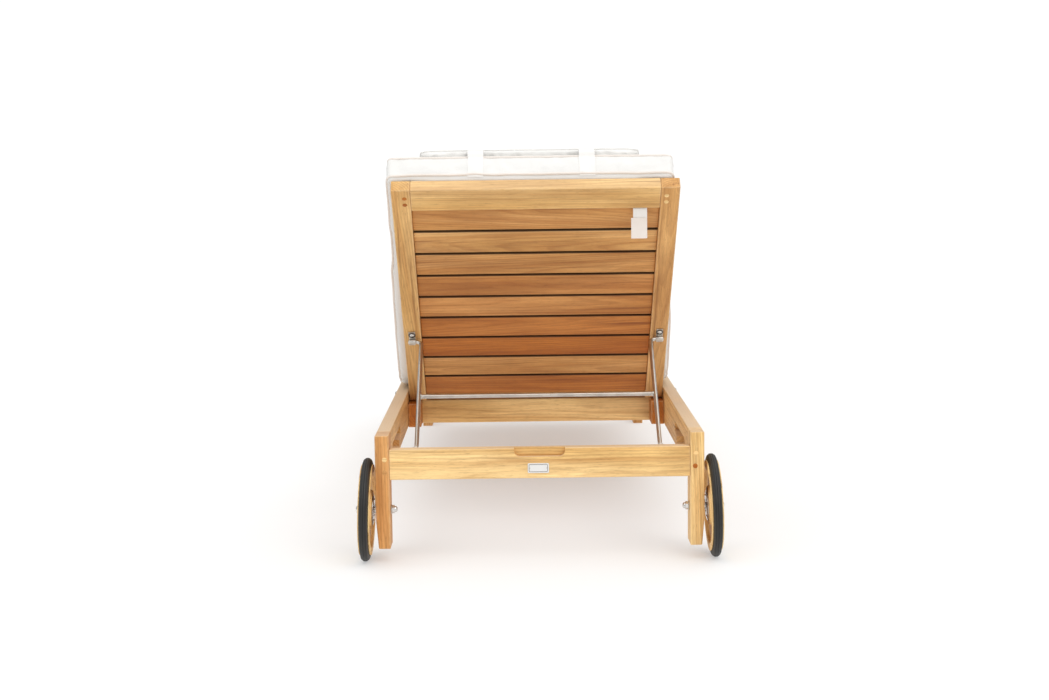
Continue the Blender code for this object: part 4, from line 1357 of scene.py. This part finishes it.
def make_pillow():
    """The head pillow: sections |cos|^p, |sin|^p that flatten towards the ends, held at the
    edge seam and inflated, with a piping round it."""
    low_x, high_x = PILLOW_X
    low_r, high_r = PILLOW_REACH
    half_x, half_r = (high_x - low_x) / 2 - PILLOW_INSET, (high_r - low_r) / 2 - PILLOW_INSET
    angle = np.linspace(0, 2 * pi, 96, endpoint=False)
    rows = []
    for x in np.linspace(-1, 1, 60):
        close = (1 - abs(x) ** 9) ** 0.5
        width = half_r * (0.94 + 0.06 * close)
        reach = np.sign(np.cos(angle)) * np.abs(np.cos(angle)) ** PILLOW_POWER * width
        lift = np.sign(np.sin(angle)) * np.abs(np.sin(angle)) ** PILLOW_POWER
        lift = lift * PILLOW_HALF * max(close, 0.3)
        rows.append(on_back((low_x + high_x) / 2 + x * half_x, (low_r + high_r) / 2 + reach,
                            PILLOW_FLOOR + PILLOW_SEAM + lift))
    pillow = piece_from("pillow", np.array(rows).reshape(-1, 3), grid_faces(60, 96), PILLOW_CANVAS_PAINTED_LIGHT)
    remeshed(pillow, PILLOW_VOXEL)
    co = coordinates(pillow.data)
    lift = (co - HINGE) @ LIFT - PILLOW_FLOOR - PILLOW_SEAM
    reach = (co - HINGE) @ REACH
    rim = np.minimum(np.minimum(co[:, 0] - low_x, high_x - co[:, 0]),
                     np.minimum(reach - low_r, high_r - reach))
    held = SEAM_HOLD * (1 - smooth_step(rim, 0.007, 0.013)) * (np.abs(lift) < 0.008)
    inflate(pillow, held, PILLOW_SWELL, 5.0, 0.04)
    co = coordinates(pillow.data)
    lift = (co - HINGE) @ LIFT
    kept = np.clip(lift, PILLOW_FLOOR + 0.0002, PILLOW_FLOOR + PILLOW_TOP)
    co += (kept - lift)[:, None] * LIFT
    set_coordinates(pillow.data, co)
    flat = np.stack([co[:, 0], (co - HINGE) @ REACH, (co - HINGE) @ LIFT], 1)
    keep_flat_point(pillow.data, flat)
    pillow.data.shade_smooth()
    # The pillow's canvas is painted lighter than the cushion's, as light on it
    pillow.data.materials.clear()
    pillow.data.materials.append(PILLOW_CANVAS_PAINTED_LIGHT)
    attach(pillow, "backrest")
    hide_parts("head_pillow")

    out = PILLOW_PIPING_OUT
    corners = [(low_x - out, low_r - out), (high_x + out, low_r - out),
               (high_x + out, high_r + out), (low_x - out, high_r + out)]
    line = even(filleted(corners, 0.03, 8), 360, closed=True)
    places = on_back(line[:, 0], line[:, 1], PILLOW_FLOOR + PILLOW_SEAM)
    path = round_path(snapped(surface_of(pillow), places, 0.0008), 3)
    seam = tube("pillow_piping", path, PILLOW_PIPING_RADIUS, PILLOW_CANVAS_PAINTED_LIGHT, "backrest", 10,
                closed=True)
    keep_flat_point(seam.data, coordinates(seam.data))


def make_straps(tree):
    """Two webbing straps from the pillow over the cushion's head end. Below the cushion's
    upper edge they are laid on the fabric."""
    top = BOARD_FACE + CUSHION_THICK
    drawn = [(0.760, top + 0.0195), (0.7685, top + 0.0150), (0.7740, top + 0.0065),
             (0.7772, top - 0.0040), (0.7780, top - 0.0180), (0.7780, 0.0480), (0.7775, 0.0340),
             (0.7740, 0.0240), (0.7690, 0.0195)]
    line = even(filleted(drawn, 0.010, 4, closed=False), 34)
    share = (1 - smooth_step(line[:, 1:], top - 0.009, top))[..., None]
    for number, x in enumerate(STRAP_X):
        across = x + np.linspace(-STRAP_WIDTH / 2, STRAP_WIDTH / 2, 9)
        grid = on_back(across[None], line[:, :1], line[:, 1:])
        placed = snapped(tree, grid.reshape(-1, 3), 0.0010).reshape(grid.shape)
        near = np.linalg.norm(placed - grid, axis=2)[..., None] < 0.016
        points = np.where(near, grid + share * (placed - grid), grid)
        strap = sheet_between(f"pillow_strap_{number + 1}", points, 0.0012, WEBBING)
        keep_flat_point(strap.data, flat_point(coordinates(strap.data)))
        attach(strap, "backrest")


TIE_GAP = 0.6963            # reach of the gap under the top rail
TIE_X = (0.2165, 0.2475)
TIE_DROP = 0.066
TIE_CURL = 0.0022           # how far its edges curl outwards at the end
PAD_X = (0.2120, 0.2462)
PAD_CURL = 0.0018
PAD_START = 0.0210          # below the edge where the tie turns down


def hanging_grid(line, low_x, high_x, columns, curl):
    """A (y, z) line spread across X, its edges curled by curl x (distance from middle)^2."""
    points = np.empty((len(line), columns, 3))
    points[..., 0] = np.linspace(low_x, high_x, columns)[None]
    points[..., 1:] = line[:, None]
    points[..., 1] += (np.linspace(-1, 1, columns) ** 2)[None] * curl[:, None]
    return points


def make_tie():
    """A webbing tie that comes through the gap under the top rail and hangs, with a pad
    of hook tape sewn to its end."""
    inner = on_back(0.0, TIE_GAP, 0.0120)[1:]
    outer = on_back(0.0, TIE_GAP, -0.0135)[1:]
    end = outer + np.array((-0.0012, -TIE_DROP))
    line = even(filleted([inner, outer, end], 0.006, 6, closed=False), 30)
    curl = TIE_CURL * smooth_step(line[:, 1], outer[1] - 0.01, outer[1] - 0.05)
    tie = sheet_between("hanging_tie", hanging_grid(line, *TIE_X, 7, curl), 0.0011, WEBBING)
    keep_flat_point(tie.data, coordinates(tie.data))
    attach(tie, "backrest")

    lower = even([outer + np.array((-0.0022, -PAD_START)), end + np.array((-0.0012, -0.0006))], 16)
    curl = PAD_CURL * np.linspace(0, 1, 16)
    pad = sheet_between("hook_tape_pad", hanging_grid(lower, *PAD_X, 9, curl), 0.0016, HOOK_PAD)
    keep_flat_point(pad.data, coordinates(pad.data))
    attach(pad, "backrest")


def make_soft_goods():
    """The cushion and its piping, which run from the seat round the fold up the backrest, and what
    lies on it.
    """
    cushion = make_cushion()
    tree = surface_of(cushion)
    upper = piping("cushion_piping_top", tree, CUSHION_THICK - 0.001)
    lower = piping("cushion_piping_base", tree, 0.0058)
    make_pillow()
    make_straps(tree)
    make_tie()
    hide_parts("cushion_seat", "cushion_back")
    for piece in (cushion, upper, lower):
        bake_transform(piece)


make_soft_goods()
